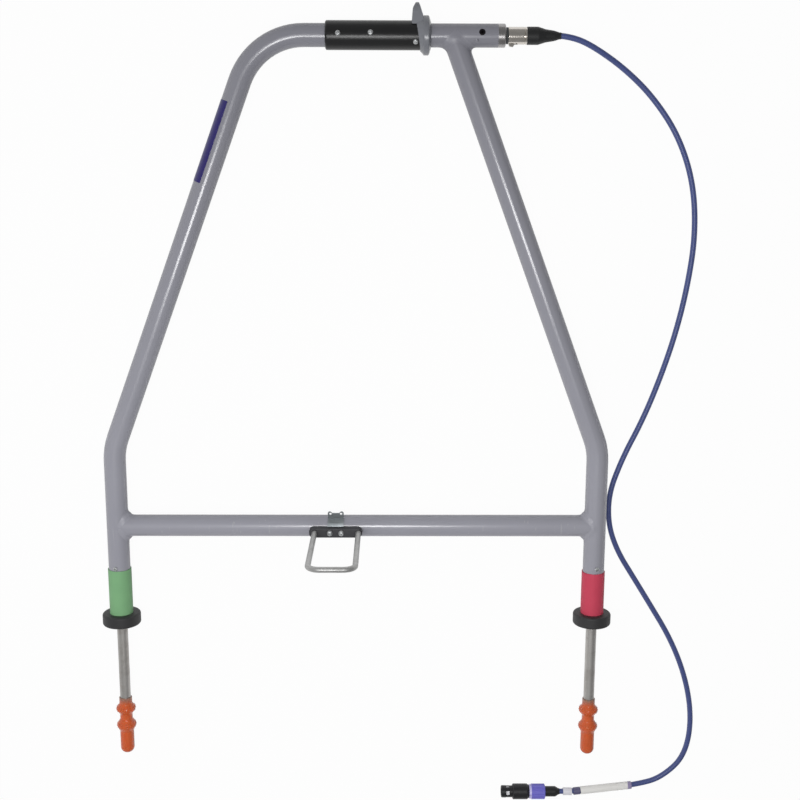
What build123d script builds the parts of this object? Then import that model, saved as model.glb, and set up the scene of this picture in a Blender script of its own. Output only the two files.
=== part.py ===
"""A-frame cable fault locator, lying on its back on a flat surface.

Millimetres. +X runs to the cable's side, +Y from the feet to the handle and +Z up, away from the
surface. The origin is on the surface, under the middle of the frame's outline.
"""

import math
import os

from build123d import *

# Frame tubes
TUBE_OD = 25.4
TUBE_WALL = 2.0
BEND_RADIUS = 76.0
LEG_SPACING = 565.0
SHOULDER_SPACING = 216.0
HANDLE_RISE = 558.0  # handlebar axis above the cross tube's axis
KNEE_RISE = 93.0  # where the leg's two straight axes meet, above the cross tube
LEG_DROP = 108.5  # end of the leg tube below the cross tube's axis
HANDLE_END = 156.7  # right end of the handlebar tube
LEAD_HOLE_D = 12.0  # passage for the right lead through the handlebar's underside
CROSS_WELD_LEG = 6.5  # leg length of the fillet welds
HANDLE_WELD_LEG = 4.5
WELD_SPAN = 0.9  # how far round the tube a weld runs, as a share of its radius

# Feet
STOP_OD = 45.0
STOP_THICKNESS = 14.0
STOP_EDGE = 2.5
SLEEVE_WALL = 0.95
LEFT_SLEEVE_LENGTH = 55.3
RIGHT_SLEEVE_LENGTH = 52.0
SLEEVE_GAP = 0.05
SPIKE_D = 12.7
SPIKE_LENGTH = 160.0  # from the stop's underside to the point
SPIKE_POINT = 16.0
STUD_D = 8.0
STUD_THREAD = 12.0  # stud above the spigot
NUT_ACROSS = 13.0
NUT_HEIGHT = 6.5
TERMINAL_THICKNESS = 1.0
TERMINAL_D = 15.0
TERMINAL_LAP = 1.0  # tongue into the ring, and past the wire
TERMINAL_TONGUE = 5.0  # width of the tongue that the wire is joined to
LEG_SCREW_SPACE = 3.0  # leg screw's axis above the longer colour sleeve
SPIGOT_BEYOND = 10.7  # spigot beyond the leg screw's axis
LEG_SCREW_TURN = 10.0  # turned outward from the top of the tube, in degrees
LEG_SCREW_HEAD_D = 5.4
LEG_SCREW_HEAD_HEIGHT = 1.9
LEG_SCREW_SHANK_D = 3.2
LEG_SCREW_END = 1.5  # between the screw's end and the stud
HEAD_SINK = 0.25  # heads sit this deep in the tube or the grip
FIT_GAP = 0.05

# Pull-off tip covers
COVER_LENGTH = 72.5
COVER_PROFILE = (  # radius, distance from the mouth, rounding
    (7.7, 0.0, 0.8),
    (7.7, 8.0, 2.5),
    (11.3, 13.4, 2.0),
    (11.3, 15.8, 2.0),
    (7.5, 21.6, 3.6),
    (7.5, 28.2, 3.6),
    (11.3, 34.6, 2.0),
    (11.3, 37.2, 2.0),
    (8.3, 43.4, 3.5),
)
COVER_END_ROUND = 7.4
COVER_GAP = 0.15
COVER_SLIP = 2.2  # right cover sits this much further down its spike
COVER_END_WALL = 7.0
COVER_TIP_GAP = 0.5  # between the spike's point and the bottom of the bore

# Grip and hand guard
GRIP_LENGTH = 106.6
GRIP_END_GAP = 0.4  # between the grip and the guard's ring
GRIP_WALL = 3.0
GRIP_ROUND = 2.2
RIVET_HEAD_D = 5.8
RIVET_HEAD_HEIGHT = 1.5
RIVET_SHANK_D = 3.2
RIVET_PLACES = ((92.3, 3.0), (57.0, 6.0), (8.0, -30.0))  # from the grip's right end, turn from the top
GUARD_FACE = 83.4  # right face of the guard's ring
GUARD_RING_WIDTH = 8.4
GUARD_RING_LIP = 5.35  # ring's rim outside the grip
GUARD_RING_FLAT = 6.05  # width of the ring's rim
GUARD_RING_DISH = 7.0  # how far in the ring's right side slopes
GUARD_CUP_WALL = 1.2  # cup's rim outside the grip
GUARD_CUP_LIP = 1.2  # step from the cup's wide end to the ring's rim
GUARD_CUP_TOP = 8.2  # cup's length on the fin's side
GUARD_CUP_BOTTOM = 3.0
GUARD_FIN_REACH = 34.6  # top of the fin above the handlebar axis
GUARD_FIN_SHOULDER = 27.7  # where the fin's back turns towards its tip
GUARD_FIN_LAP = 1.0  # fin's foot inside the cup and the ring
GUARD_FIN_SADDLE = 11.2  # fin's lower edge above the handlebar axis, round the grip
GUARD_FIN_WIDTH = 25.6
GUARD_FIN_FOOT = 21.2  # fin's foot, left of the ring's right face
GUARD_FIN_TIP = 15.3  # fin's tip, left of the ring's right face

# Socket in the handlebar's right end
FERRULE_FLANGE = 8.2
FERRULE_SPIGOT = 30.0
FERRULE_ROUND = 1.4
SOCKET_BORE_D = 16.2
SOCKET_DEPTH = 20.0
SOCKET_THROAT_D = 12.4
INSERT_THICKNESS = 4.0
PIN_D = 2.4
PIN_CIRCLE_D = 8.4
PIN_REACH = 9.0  # pin in front of the socket insert
PIN_TAIL = 5.0  # pin behind the socket insert
GRUB_D = 7.0
GRUB_PLACE = (17.9, 12.0)  # from the handlebar's end, turn from the top towards the far side
GRUB_KEY = 3.2
FERRULE_RIVET_PLACE = (23.7, -31.0)
FERRULE_RIVET_HEAD_D = 4.6
FERRULE_RIVET_HEAD_HEIGHT = 1.1
FERRULE_RIVET_SHANK_D = 2.6
FIXING_COVER = 1.0  # ferrule wall left under the grub screw and the rivet

# Lead plug at the handlebar
PLUG_GAP = 0.3  # between the gasket and the ferrule
PLUG_NOSE_GAP = 0.1
GASKET_WIDTH = 2.5
GASKET_D = 17.8
SHELL_D = 18.8
SHELL_LENGTH = 20.7
SHELL_WALL = 1.1
SHELL_GROOVE = 0.5
SHELL_GROOVE_INSET = 3.0  # groove from the shell's end
PLUG_NOSE_LENGTH = 14.4  # nose inside the ferrule
CONTACT_WALL = 0.5
CONTACT_TAIL = 3.0  # contact behind the plug's insert
PLUG_INSERT_SETBACK = 0.6  # insert behind the nose's rim
PLUG_INSERT_BEYOND = 3.0  # insert past the nose into the shell
LATCH_WIDTH = 6.0
LATCH_LENGTH = 8.6  # pivot to the front of the thumb pad
LATCH_PAD = 4.9
LATCH_PIN_D = 1.6
LATCH_PAD_REACH = 12.2  # thumb pad's top from the plug's axis
LATCH_SIDE_GAP = 0.2
LATCH_END_GAP = 0.4  # between the lever and the slot's ends
LATCH_RISE = 0.15  # lever's back above the shell
LATCH_DEPTH = 1.3  # lever's thickness over its pin
LATCH_PIN_LAND = 1.2  # pin's ends in the shell's wall
LATCH_SLOT_OPEN = 1.0  # slot past the shell's bore
BOOT_LENGTH = 37.3
BOOT_PROFILE = (  # radius, distance from the shell, rounding
    (9.6, 12.2, 4.0),
    (7.0, 20.4, 6.0),
    (5.5, 30.0, 5.0),
    (3.7, 35.6, 1.5),
)

# Cable
CABLE_D = 6.5
CABLE_LIFT = 3.3  # height of its axis where it lies on the surface

# Far plug, which lies on the surface
FAR_NOSE_D = 14.8
FAR_NOSE_LENGTH = 13.8
FAR_NOSE_BORE_D = 12.0
FAR_NOSE_DEPTH = 11.5
FAR_NOSE_ROUND = 1.2
FAR_LAND = 5.8  # front land that fits the socket, from the nose's rim
FAR_RELIEF = 0.3  # how much slimmer the nose is behind its land
FAR_WINDOW_LENGTH = 4.1
FAR_WINDOW_WIDTH = 6.0
FAR_WINDOW_RISE = 8.05  # middle of the windows behind the nose's rim
FAR_WINDOW_COUNT = 4
FAR_WINDOW_TURN = -6.0  # first window, from the top towards the feet
FAR_COLLAR_D = 19.0
FAR_COLLAR_LENGTH = 20.6
FAR_COLLAR_GAP = 0.35  # end play of the collar
FAR_CORE_D = 13.6  # what the collar turns on
FAR_CORE_GAP = 0.08
FAR_NUT_D = 18.8
FAR_NUT_LENGTH = 20.1
FAR_NUT_RIBS = 12
FAR_RIB_DEPTH = 0.7
FAR_NUT_LIP = 2.6  # toothed lip at the collar's side
FAR_TOOTH_GAP = 1.7
FAR_TOOTH_DEPTH = 1.3
FAR_BOOT_LENGTH = 17.8
FAR_BOOT_STRAIGHT = 12.6
FAR_BOOT_D = 12.6
FAR_BOOT_END_D = 7.6
FAR_PIN_COUNT = 4
FAR_PIN_D = 1.6
FAR_PIN_CIRCLE_D = 7.0
FAR_INSERT_THICKNESS = 6.0
FAR_AXIS_DROP = 351.6  # far plug's axis below the cross tube's axis
FAR_RIM_X = 179.1

# Sleeves on the cable, measured from the far plug's boot
MARKER_START = 4.6
MARKER_LENGTH = 11.0
MARKER_D = 9.2
SHRINK_SPACE = 2.0  # between the marker and the shrink sleeve
SHRINK_LENGTH = 8.5
SHRINK_D = 9.2
LABEL_SPACE = 0.5  # between the shrink sleeve and the label
LABEL_LENGTH = 64.5
LABEL_D = 9.6
SLEEVE_BORE_GAP = 0.35

# Receiver holder on the cross tube
HOLDER_X = -24.2
BLOCK_WIDTH = 61.8
BLOCK_HEIGHT = 11.6
BLOCK_SHIFT = -2.85  # block's middle from the tube's axis
BLOCK_STAND = 8.8  # front face above the tube
BLOCK_BACK = 5.0
BLOCK_ROUND = 5.0
BLOCK_EDGE = 1.5
SCREW_SPACING = 13.2
SCREW_HEAD_D = 6.8
SCREW_HEAD_HEIGHT = 2.4
SCREW_SHANK_D = 4.0
LOOP_ROD_D = 6.35
LOOP_WIDTH = 51.2
LOOP_REACH = 148.0  # front bar's axis above the cross tube's axis
LOOP_CORNER = 13.0
LOOP_FLOOR = 0.8  # block left between the loop's ends and the tube
LOOP_SHIFT = 1.0  # loop's middle from the block's
STRAP_WIDTH = 18.7
STRAP_THICKNESS = 1.2
STRAP_SIDE_GAP = 0.2
LINER_THICKNESS = 0.8
STRAP_START = 3.0  # angles round the tube from its top, in degrees
STRAP_END = 56.0
EAR_LENGTH = 9.5
EAR_TILT = 14.0
EAR_HOLE_D = 3.0
EAR_SPACING = 12.4
EAR_ROUND = 2.6
EAR_DIP = 2.2  # dip between the ears
WINDOW_TURN = 37.5  # middle of the window from the tube's top, in degrees
WINDOW_LENGTH = 5.2
WINDOW_WIDTH = 12.6

# Lead wires inside the tubes
WIRE_D = 2.4
WIRE_BEND = 7.0
WIRE_WALL_GAP = 0.3  # between the wire beside the nut and the leg tube's wall
WIRE_LEAD_OUT = 9.0  # straight wire past the stud
WIRE_SWAN = 16.0  # length of the wire's step to its place

# Places worked out from the sizes above
HALF = LEG_SPACING / 2
SHOULDER = SHOULDER_SPACING / 2
TUBE_R = TUBE_OD / 2
BORE_R = TUBE_R - TUBE_WALL
COVER_DEPTH = COVER_LENGTH - COVER_END_WALL
COVER_START = SPIKE_LENGTH - COVER_DEPTH + COVER_TIP_GAP
COVER_END_DROP = LEG_DROP + STOP_THICKNESS + COVER_START + COVER_SLIP + COVER_LENGTH
Z_AXIS = STOP_OD / 2
Y_CROSS = -(HANDLE_RISE + GUARD_FIN_REACH - COVER_END_DROP) / 2
Y_HANDLE = Y_CROSS + HANDLE_RISE
Y_KNEE = Y_CROSS + KNEE_RISE
Y_LEG_END = Y_CROSS - LEG_DROP
LEG_SCREW_RISE = max(LEFT_SLEEVE_LENGTH, RIGHT_SLEEVE_LENGTH) + LEG_SCREW_SPACE
SPIGOT_LENGTH = LEG_SCREW_RISE + SPIGOT_BEYOND
Y_SPIGOT = Y_LEG_END + SPIGOT_LENGTH
Y_STOP_UNDER = Y_LEG_END - STOP_THICKNESS
Y_COVER = Y_STOP_UNDER - COVER_START
GRIP_OD = TUBE_OD + 2 * (FIT_GAP + GRIP_WALL)
GUARD_RING_OD = GRIP_OD + 2 * GUARD_RING_LIP
GUARD_LEFT = GUARD_FACE - GUARD_RING_WIDTH
GRIP_RIGHT = GUARD_LEFT - GRIP_END_GAP
MOUTH = HANDLE_END + FERRULE_FLANGE
SOCKET_FLOOR = MOUTH - SOCKET_DEPTH
SOCKET_FACE = SOCKET_FLOOR + INSERT_THICKNESS
SHELL_START = MOUTH + PLUG_GAP + GASKET_WIDTH
SHELL_END = SHELL_START + SHELL_LENGTH
BOOT_END = SHELL_END + BOOT_LENGTH
NOSE_R = SOCKET_BORE_D / 2 - PLUG_NOSE_GAP
LATCH_X = SHELL_START + LATCH_END_GAP + LATCH_LENGTH
LATCH_TAIL = LATCH_PIN_D / 2 + LATCH_END_GAP
LATCH_Y = Y_HANDLE - SHELL_D / 2 + LATCH_PIN_D / 2 + 0.1
FAR_Y = Y_CROSS - FAR_AXIS_DROP
FAR_Z = FAR_COLLAR_D / 2
FAR_COLLAR_X = FAR_RIM_X + FAR_NOSE_LENGTH + FAR_COLLAR_GAP
FAR_NUT_X = FAR_COLLAR_X + FAR_COLLAR_LENGTH + FAR_COLLAR_GAP
FAR_BOOT_X = FAR_NUT_X + FAR_NUT_LENGTH
FAR_END = FAR_BOOT_X + FAR_BOOT_LENGTH
SHRINK_START = MARKER_START + MARKER_LENGTH + SHRINK_SPACE
LABEL_START = SHRINK_START + SHRINK_LENGTH + LABEL_SPACE
FAR_LEAD_OUT = SHRINK_START - 0.7 * SHRINK_SPACE  # straight cable out of the far plug
WIRE_TIE = BORE_R - WIRE_D / 2 - WIRE_WALL_GAP  # wire beside the nut, from the leg's axis
BLOCK_FRONT = TUBE_R + BLOCK_STAND
HANDLE_DIR = Vector(1, 0, 0)
LEG_DIR = Vector(HALF - SHOULDER, Y_KNEE - Y_HANDLE, 0).normalized()
BLOCK_Y = Y_CROSS + BLOCK_SHIFT

# Bends of the cable as it lies: across, along from the cross tube's axis, and height
CABLE_BENDS = (
    (241.5, 556.4, 22.1),
    (266.5, 545.0, 18.2),
    (300.6, 523.5, 9.0),
    (333.5, 494.2, 3.9),
    (364.2, 452.0, CABLE_LIFT),
    (383.8, 399.2, CABLE_LIFT),
    (388.9, 340.5, CABLE_LIFT),
    (383.0, 284.0, CABLE_LIFT),
    (372.2, 229.0, CABLE_LIFT),
    (356.5, 175.3, CABLE_LIFT),
    (337.6, 123.8, CABLE_LIFT),
    (314.8, 76.1, CABLE_LIFT),
    (299.1, 27.2, CABLE_LIFT),
    (305.9, -25.4, CABLE_LIFT),
    (344.6, -86.8, CABLE_LIFT),
    (392.0, -163.9, CABLE_LIFT),
    (414.9, -240.1, CABLE_LIFT),
    (411.3, -304.2, CABLE_LIFT),
    (381.1, -336.3, CABLE_LIFT),
)
LABEL_RUN_END = Vector(350.0, Y_CROSS - 344.9, 4.5)
LABEL_RUN_START = Vector(FAR_END + FAR_LEAD_OUT, FAR_Y, FAR_Z)
LABEL_RUN_BOW = Vector(0, -0.08, 0)
CABLE_ROUTE = (
    Vector(BOOT_END, Y_HANDLE, Z_AXIS),
    *(Vector(x, Y_CROSS + y, z) for x, y, z in CABLE_BENDS),
    LABEL_RUN_END,
    (LABEL_RUN_END + LABEL_RUN_START) / 2 + LABEL_RUN_BOW,
    LABEL_RUN_START,
    Vector(FAR_END, FAR_Y, FAR_Z),
)


def outline(*corners):
    """Face inside straight sides, each corner given as (across, along, rounding)."""
    points = [corner[:2] for corner in corners]
    rounds = [corner[2] if len(corner) > 2 else 0 for corner in corners]
    return make_face(FilletPolyline(*points, radius=rounds, close=True))


def spun(face, start, direction):
    """Solid turned from a face whose x is the radius and whose y runs along the direction."""
    along = Vector(*direction).normalized()
    across = along.cross(Vector(0, 0, 1) if abs(along.Z) < 0.9 else Vector(1, 0, 0)).normalized()
    seat = Plane(origin=start, x_dir=across, z_dir=across.cross(along))
    return seat * revolve(face, Axis.Y)


def bar(start, end, radius):
    """Round bar between two points."""
    span = Vector(*end) - Vector(*start)
    place = Plane(origin=start, z_dir=span)
    return place * Cylinder(radius, span.length, align=(Align.CENTER, Align.CENTER, Align.MIN))


def swept(path, radius):
    """Round bar along a path."""
    return sweep(Plane(origin=path @ 0, z_dir=path % 0) * Circle(radius), path)


def pipe(path, outer_radius, inner_radius):
    """Tube along a path."""
    return swept(path, outer_radius) - swept(path, inner_radius)


def ring_about(start, direction, length, outer_radius, inner_radius, rounding=0.0):
    """Turned sleeve, its outer edges rounded alike at both ends."""
    face = outline(
        (inner_radius, 0),
        (outer_radius, 0, rounding),
        (outer_radius, length, rounding),
        (inner_radius, length),
    )
    return spun(face, start, direction)


def tube_side(x, y, turn, axis, radius):
    """Point and outward direction on a tube's side, turned from its top round the axis."""
    tilt = math.radians(turn)
    if axis == "x":
        normal = Vector(0, math.sin(tilt), math.cos(tilt))
    else:
        normal = Vector(math.sin(tilt), 0, math.cos(tilt))
    return Vector(x, y, Z_AXIS) + normal * radius, normal


def domed_fastener(seat, normal, head_d, head_height, shank_d, shank_length):
    """Rivet or pan head on a seat, with its shank below."""
    face = outline(
        (0, -shank_length),
        (shank_d / 2, -shank_length),
        (shank_d / 2, 0),
        (head_d / 2, 0),
        (head_d / 2, head_height, head_height * 0.8),
        (0, head_height),
    )
    return spun(face, seat, normal)


def fixing_hole(seat, normal, head_d, shank_d, depth):
    """Hole for a fixing's shank, with a flat for its head."""
    flat = bar(seat, seat + normal * head_d, head_d / 2 + FIT_GAP)
    return flat + bar(seat - normal * depth, seat + normal, shank_d / 2 + FIT_GAP)


# Frame tubes and welds


def fillet_weld(corner, first, second, leg):
    """Weld in the corner between two equal tubes that leave one point in two directions."""
    half_angle = math.radians(first.get_angle(second)) / 2
    middle = (first + second).normalized()
    throat = leg * math.cos(half_angle)
    reach = TUBE_R / math.sin(half_angle)
    span = leg * math.sin(half_angle) + TUBE_R
    section = Plane(origin=corner, x_dir=middle, z_dir=Vector(0, 0, 1).cross(middle) * -1)
    profile = Pos(throat, 0) * Ellipse(reach, TUBE_R)
    profile &= Pos(reach, 0) * Rectangle(2 * reach, 2 * WELD_SPAN * TUBE_R)
    blank = extrude(section * profile, span, both=True)
    wedge_reach = 4 * TUBE_R
    wedge = extrude(
        make_face(
            Polyline(
                corner,
                corner + first * wedge_reach,
                corner + second * wedge_reach,
                close=True,
            )
        ),
        2 * TUBE_R,
        both=True,
    )
    blank &= wedge
    for direction in (first, second):
        blank -= bar(corner - direction * TUBE_OD, corner + direction * wedge_reach, TUBE_R)
    return blank


def make_frame():
    """The bent main tube, the right leg, the cross tube and their welds."""
    main_path = FilletPolyline(
        (-HALF, Y_LEG_END, Z_AXIS),
        (-HALF, Y_KNEE, Z_AXIS),
        (-SHOULDER, Y_HANDLE, Z_AXIS),
        (HANDLE_END, Y_HANDLE, Z_AXIS),
        radius=BEND_RADIUS,
    )
    right_path = FilletPolyline(
        (HALF, Y_LEG_END, Z_AXIS),
        (HALF, Y_KNEE, Z_AXIS),
        (SHOULDER, Y_HANDLE, Z_AXIS),
        radius=BEND_RADIUS,
    )
    joint = Vector(SHOULDER, Y_HANDLE, Z_AXIS)
    main = pipe(main_path, TUBE_R, BORE_R)
    main -= bar(joint, joint + LEG_DIR * 2 * TUBE_OD, LEAD_HOLE_D / 2)
    right = pipe(right_path, TUBE_R, BORE_R)
    right -= bar(joint - HANDLE_DIR * 2 * TUBE_OD, joint + HANDLE_DIR * 2 * TUBE_OD, TUBE_R)
    cross_path = Line((-HALF, Y_CROSS, Z_AXIS), (HALF, Y_CROSS, Z_AXIS))
    cross = pipe(cross_path, TUBE_R, BORE_R)
    parts = {"handle_weld": [], "left_cross_weld": [], "right_cross_weld": []}
    for handle in (HANDLE_DIR, HANDLE_DIR * -1):
        parts["handle_weld"].append(fillet_weld(joint, handle, LEG_DIR, HANDLE_WELD_LEG))
    for side, name in ((-1, "left_cross_weld"), (1, "right_cross_weld")):
        foot = Vector(side * HALF, Y_CROSS, Z_AXIS)
        up = Vector(0, 1, 0)
        cross -= bar(foot - up * TUBE_OD, foot + up * TUBE_OD, TUBE_R)
        for leg in (up, up * -1):
            parts[name].append(fillet_weld(foot, HANDLE_DIR * -side, leg, CROSS_WELD_LEG))
    parts.update(main_tube=main, right_leg_tube=right, cross_tube=cross)
    return parts


# Feet


def make_foot(side):
    """Insulated spike with its colour sleeve, nut, terminal and screw on one leg."""
    x = side * HALF
    stud_top = Y_SPIGOT + STUD_THREAD
    insulator = spun(
        outline(
            (STUD_D / 2 + FIT_GAP, 0),
            (STOP_OD / 2, 0, STOP_EDGE),
            (STOP_OD / 2, STOP_THICKNESS, STOP_EDGE),
            (BORE_R - FIT_GAP, STOP_THICKNESS),
            (BORE_R - FIT_GAP, STOP_THICKNESS + SPIGOT_LENGTH),
            (STUD_D / 2 + FIT_GAP, STOP_THICKNESS + SPIGOT_LENGTH),
        ),
        (x, Y_STOP_UNDER, Z_AXIS),
        (0, 1, 0),
    )
    spike = spun(
        outline(
            (0, 0),
            (SPIKE_D / 2, SPIKE_POINT),
            (SPIKE_D / 2, SPIKE_LENGTH),
            (STUD_D / 2, SPIKE_LENGTH),
            (STUD_D / 2, SPIKE_LENGTH + stud_top - Y_STOP_UNDER),
            (0, SPIKE_LENGTH + stud_top - Y_STOP_UNDER),
        ),
        (x, Y_STOP_UNDER - SPIKE_LENGTH, Z_AXIS),
        (0, 1, 0),
    )
    sleeve = ring_about(
        (x, Y_LEG_END, Z_AXIS),
        (0, 1, 0),
        RIGHT_SLEEVE_LENGTH if side > 0 else LEFT_SLEEVE_LENGTH,
        TUBE_R + SLEEVE_GAP + SLEEVE_WALL,
        TUBE_R + SLEEVE_GAP,
    )
    terminal = ring_about(
        (x, Y_SPIGOT, Z_AXIS),
        (0, 1, 0),
        TERMINAL_THICKNESS,
        TERMINAL_D / 2,
        STUD_D / 2 + FIT_GAP,
    )
    tongue_length = WIRE_TIE + WIRE_D / 2 - TERMINAL_D / 2 + TERMINAL_LAP
    tongue = Box(TERMINAL_TONGUE, TERMINAL_THICKNESS, tongue_length)
    tongue_z = Z_AXIS - side * (TERMINAL_D / 2 - TERMINAL_LAP + tongue_length / 2)
    terminal += Pos(x, Y_SPIGOT + TERMINAL_THICKNESS / 2, tongue_z) * tongue
    nut_plane = Plane(origin=(x, Y_SPIGOT + TERMINAL_THICKNESS, Z_AXIS), z_dir=(0, 1, 0))
    nut_face = RegularPolygon(NUT_ACROSS / 2, 6, major_radius=False) - Circle(STUD_D / 2 + FIT_GAP)
    nut = extrude(nut_plane * nut_face, NUT_HEIGHT)
    turn = side * LEG_SCREW_TURN
    seat, normal = tube_side(x, Y_LEG_END + LEG_SCREW_RISE, turn, "y", TUBE_R - HEAD_SINK)
    shank = TUBE_R - STUD_D / 2 - LEG_SCREW_END
    sizes = (LEG_SCREW_HEAD_D, LEG_SCREW_HEAD_HEIGHT, LEG_SCREW_SHANK_D, shank)
    screw = domed_fastener(seat, normal, *sizes)
    hole = fixing_hole(seat, normal, LEG_SCREW_HEAD_D, LEG_SCREW_SHANK_D, shank)
    insulator -= hole
    return {
        "insulator": insulator,
        "spike": spike,
        "sleeve": sleeve,
        "terminal": terminal,
        "nut": nut,
        "screw": screw,
        "hole": hole,
    }


def make_cover(side):
    """Rubber cover with two finger beads, pushed over the spike's point."""
    bore = SPIKE_D / 2 + COVER_GAP
    face = outline(
        (0, COVER_LENGTH),
        (0, COVER_DEPTH),
        (bore, COVER_DEPTH - SPIKE_POINT),
        (bore, 0),
        *COVER_PROFILE,
        (COVER_PROFILE[-1][0], COVER_LENGTH, COVER_END_ROUND),
    )
    slip = COVER_SLIP if side > 0 else 0.0
    return spun(face, (side * HALF, Y_COVER - slip, Z_AXIS), (0, -1, 0))


# Grip, guard and socket on the handlebar


def make_handle_pieces():
    """Grip sleeve with rivets, hand guard, ferrule, socket and its fixings."""
    axis_start = Vector(0, Y_HANDLE, Z_AXIS)
    grip = ring_about(
        axis_start + HANDLE_DIR * (GRIP_RIGHT - GRIP_LENGTH),
        HANDLE_DIR,
        GRIP_LENGTH,
        GRIP_OD / 2,
        TUBE_R + FIT_GAP,
        GRIP_ROUND,
    )
    rivets = []
    rivet_holes = []
    for inset, turn in RIVET_PLACES:
        seat, normal = tube_side(GRIP_RIGHT - inset, Y_HANDLE, turn, "x", GRIP_OD / 2 - HEAD_SINK)
        shank = GRIP_OD / 2 - BORE_R + 1.0
        sizes = (RIVET_HEAD_D, RIVET_HEAD_HEIGHT, RIVET_SHANK_D, shank)
        rivets.append(domed_fastener(seat, normal, *sizes))
        rivet_holes.append(fixing_hole(seat, normal, RIVET_HEAD_D, RIVET_SHANK_D, shank))
    guard = make_guard()
    ferrule = spun(
        outline(
            (SOCKET_THROAT_D / 2, 0),
            (BORE_R - FIT_GAP, 0),
            (BORE_R - FIT_GAP, FERRULE_SPIGOT),
            (TUBE_R, FERRULE_SPIGOT),
            (TUBE_R, FERRULE_SPIGOT + FERRULE_FLANGE, FERRULE_ROUND),
            (SOCKET_BORE_D / 2, FERRULE_SPIGOT + FERRULE_FLANGE),
            (SOCKET_BORE_D / 2, FERRULE_SPIGOT + FERRULE_FLANGE - SOCKET_DEPTH),
            (SOCKET_THROAT_D / 2, FERRULE_SPIGOT + FERRULE_FLANGE - SOCKET_DEPTH),
        ),
        axis_start + HANDLE_DIR * (HANDLE_END - FERRULE_SPIGOT),
        HANDLE_DIR,
    )
    grub_inset, grub_turn = GRUB_PLACE
    grub_x = HANDLE_END - grub_inset
    grub_top, grub_normal = tube_side(grub_x, Y_HANDLE, grub_turn, "x", TUBE_R - HEAD_SINK)
    depth = TUBE_R - HEAD_SINK - SOCKET_THROAT_D / 2 - FIXING_COVER
    grub_foot = grub_top - grub_normal * depth
    grub = bar(grub_foot, grub_top, GRUB_D / 2)
    key_face = RegularPolygon(GRUB_KEY / 2, 6, major_radius=False)
    grub -= extrude(Plane(origin=grub_top, z_dir=grub_normal) * key_face, -depth * 0.6)
    grub_hole = bar(grub_foot, grub_top + grub_normal * GRUB_D, GRUB_D / 2)
    rivet_inset, rivet_turn = FERRULE_RIVET_PLACE
    rivet_x = HANDLE_END - rivet_inset
    seat, normal = tube_side(rivet_x, Y_HANDLE, rivet_turn, "x", TUBE_R - HEAD_SINK)
    sizes = (FERRULE_RIVET_HEAD_D, FERRULE_RIVET_HEAD_HEIGHT, FERRULE_RIVET_SHANK_D, depth)
    ferrule_rivet = domed_fastener(seat, normal, *sizes)
    rivet_hole = fixing_hole(seat, normal, FERRULE_RIVET_HEAD_D, FERRULE_RIVET_SHANK_D, depth)
    ferrule = ferrule - grub_hole - rivet_hole
    insert = ring_about(
        (SOCKET_FLOOR, Y_HANDLE, Z_AXIS), HANDLE_DIR, INSERT_THICKNESS, SOCKET_BORE_D / 2 - FIT_GAP, 0
    )
    pins = []
    for y, z in pin_places(PIN_CIRCLE_D, 3):
        tail = (SOCKET_FLOOR - PIN_TAIL, Y_HANDLE + y, Z_AXIS + z)
        tip = (SOCKET_FACE + PIN_REACH, Y_HANDLE + y, Z_AXIS + z)
        pins.append(bar(tail, tip, PIN_D / 2))
        insert -= bar(tail, tip, PIN_D / 2)
    pieces = {
        "grip_sleeve": grip,
        "grip_rivets": rivets,
        "hand_guard": guard,
        "end_ferrule": ferrule,
        "grub_screw": grub,
        "ferrule_rivet": ferrule_rivet,
        "socket_insert": insert,
        "socket_pins": pins,
    }
    for hole in rivet_holes:
        pieces["grip_sleeve"] -= hole
    return pieces, rivet_holes + [grub_hole, rivet_hole]


def pin_places(circle_d, count):
    """Places of contacts round an axis that runs along X, the first one at the top."""
    places = []
    for i in range(count):
        turn = 2 * math.pi * i / count
        places.append((circle_d / 2 * math.sin(turn), circle_d / 2 * math.cos(turn)))
    return places


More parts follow.
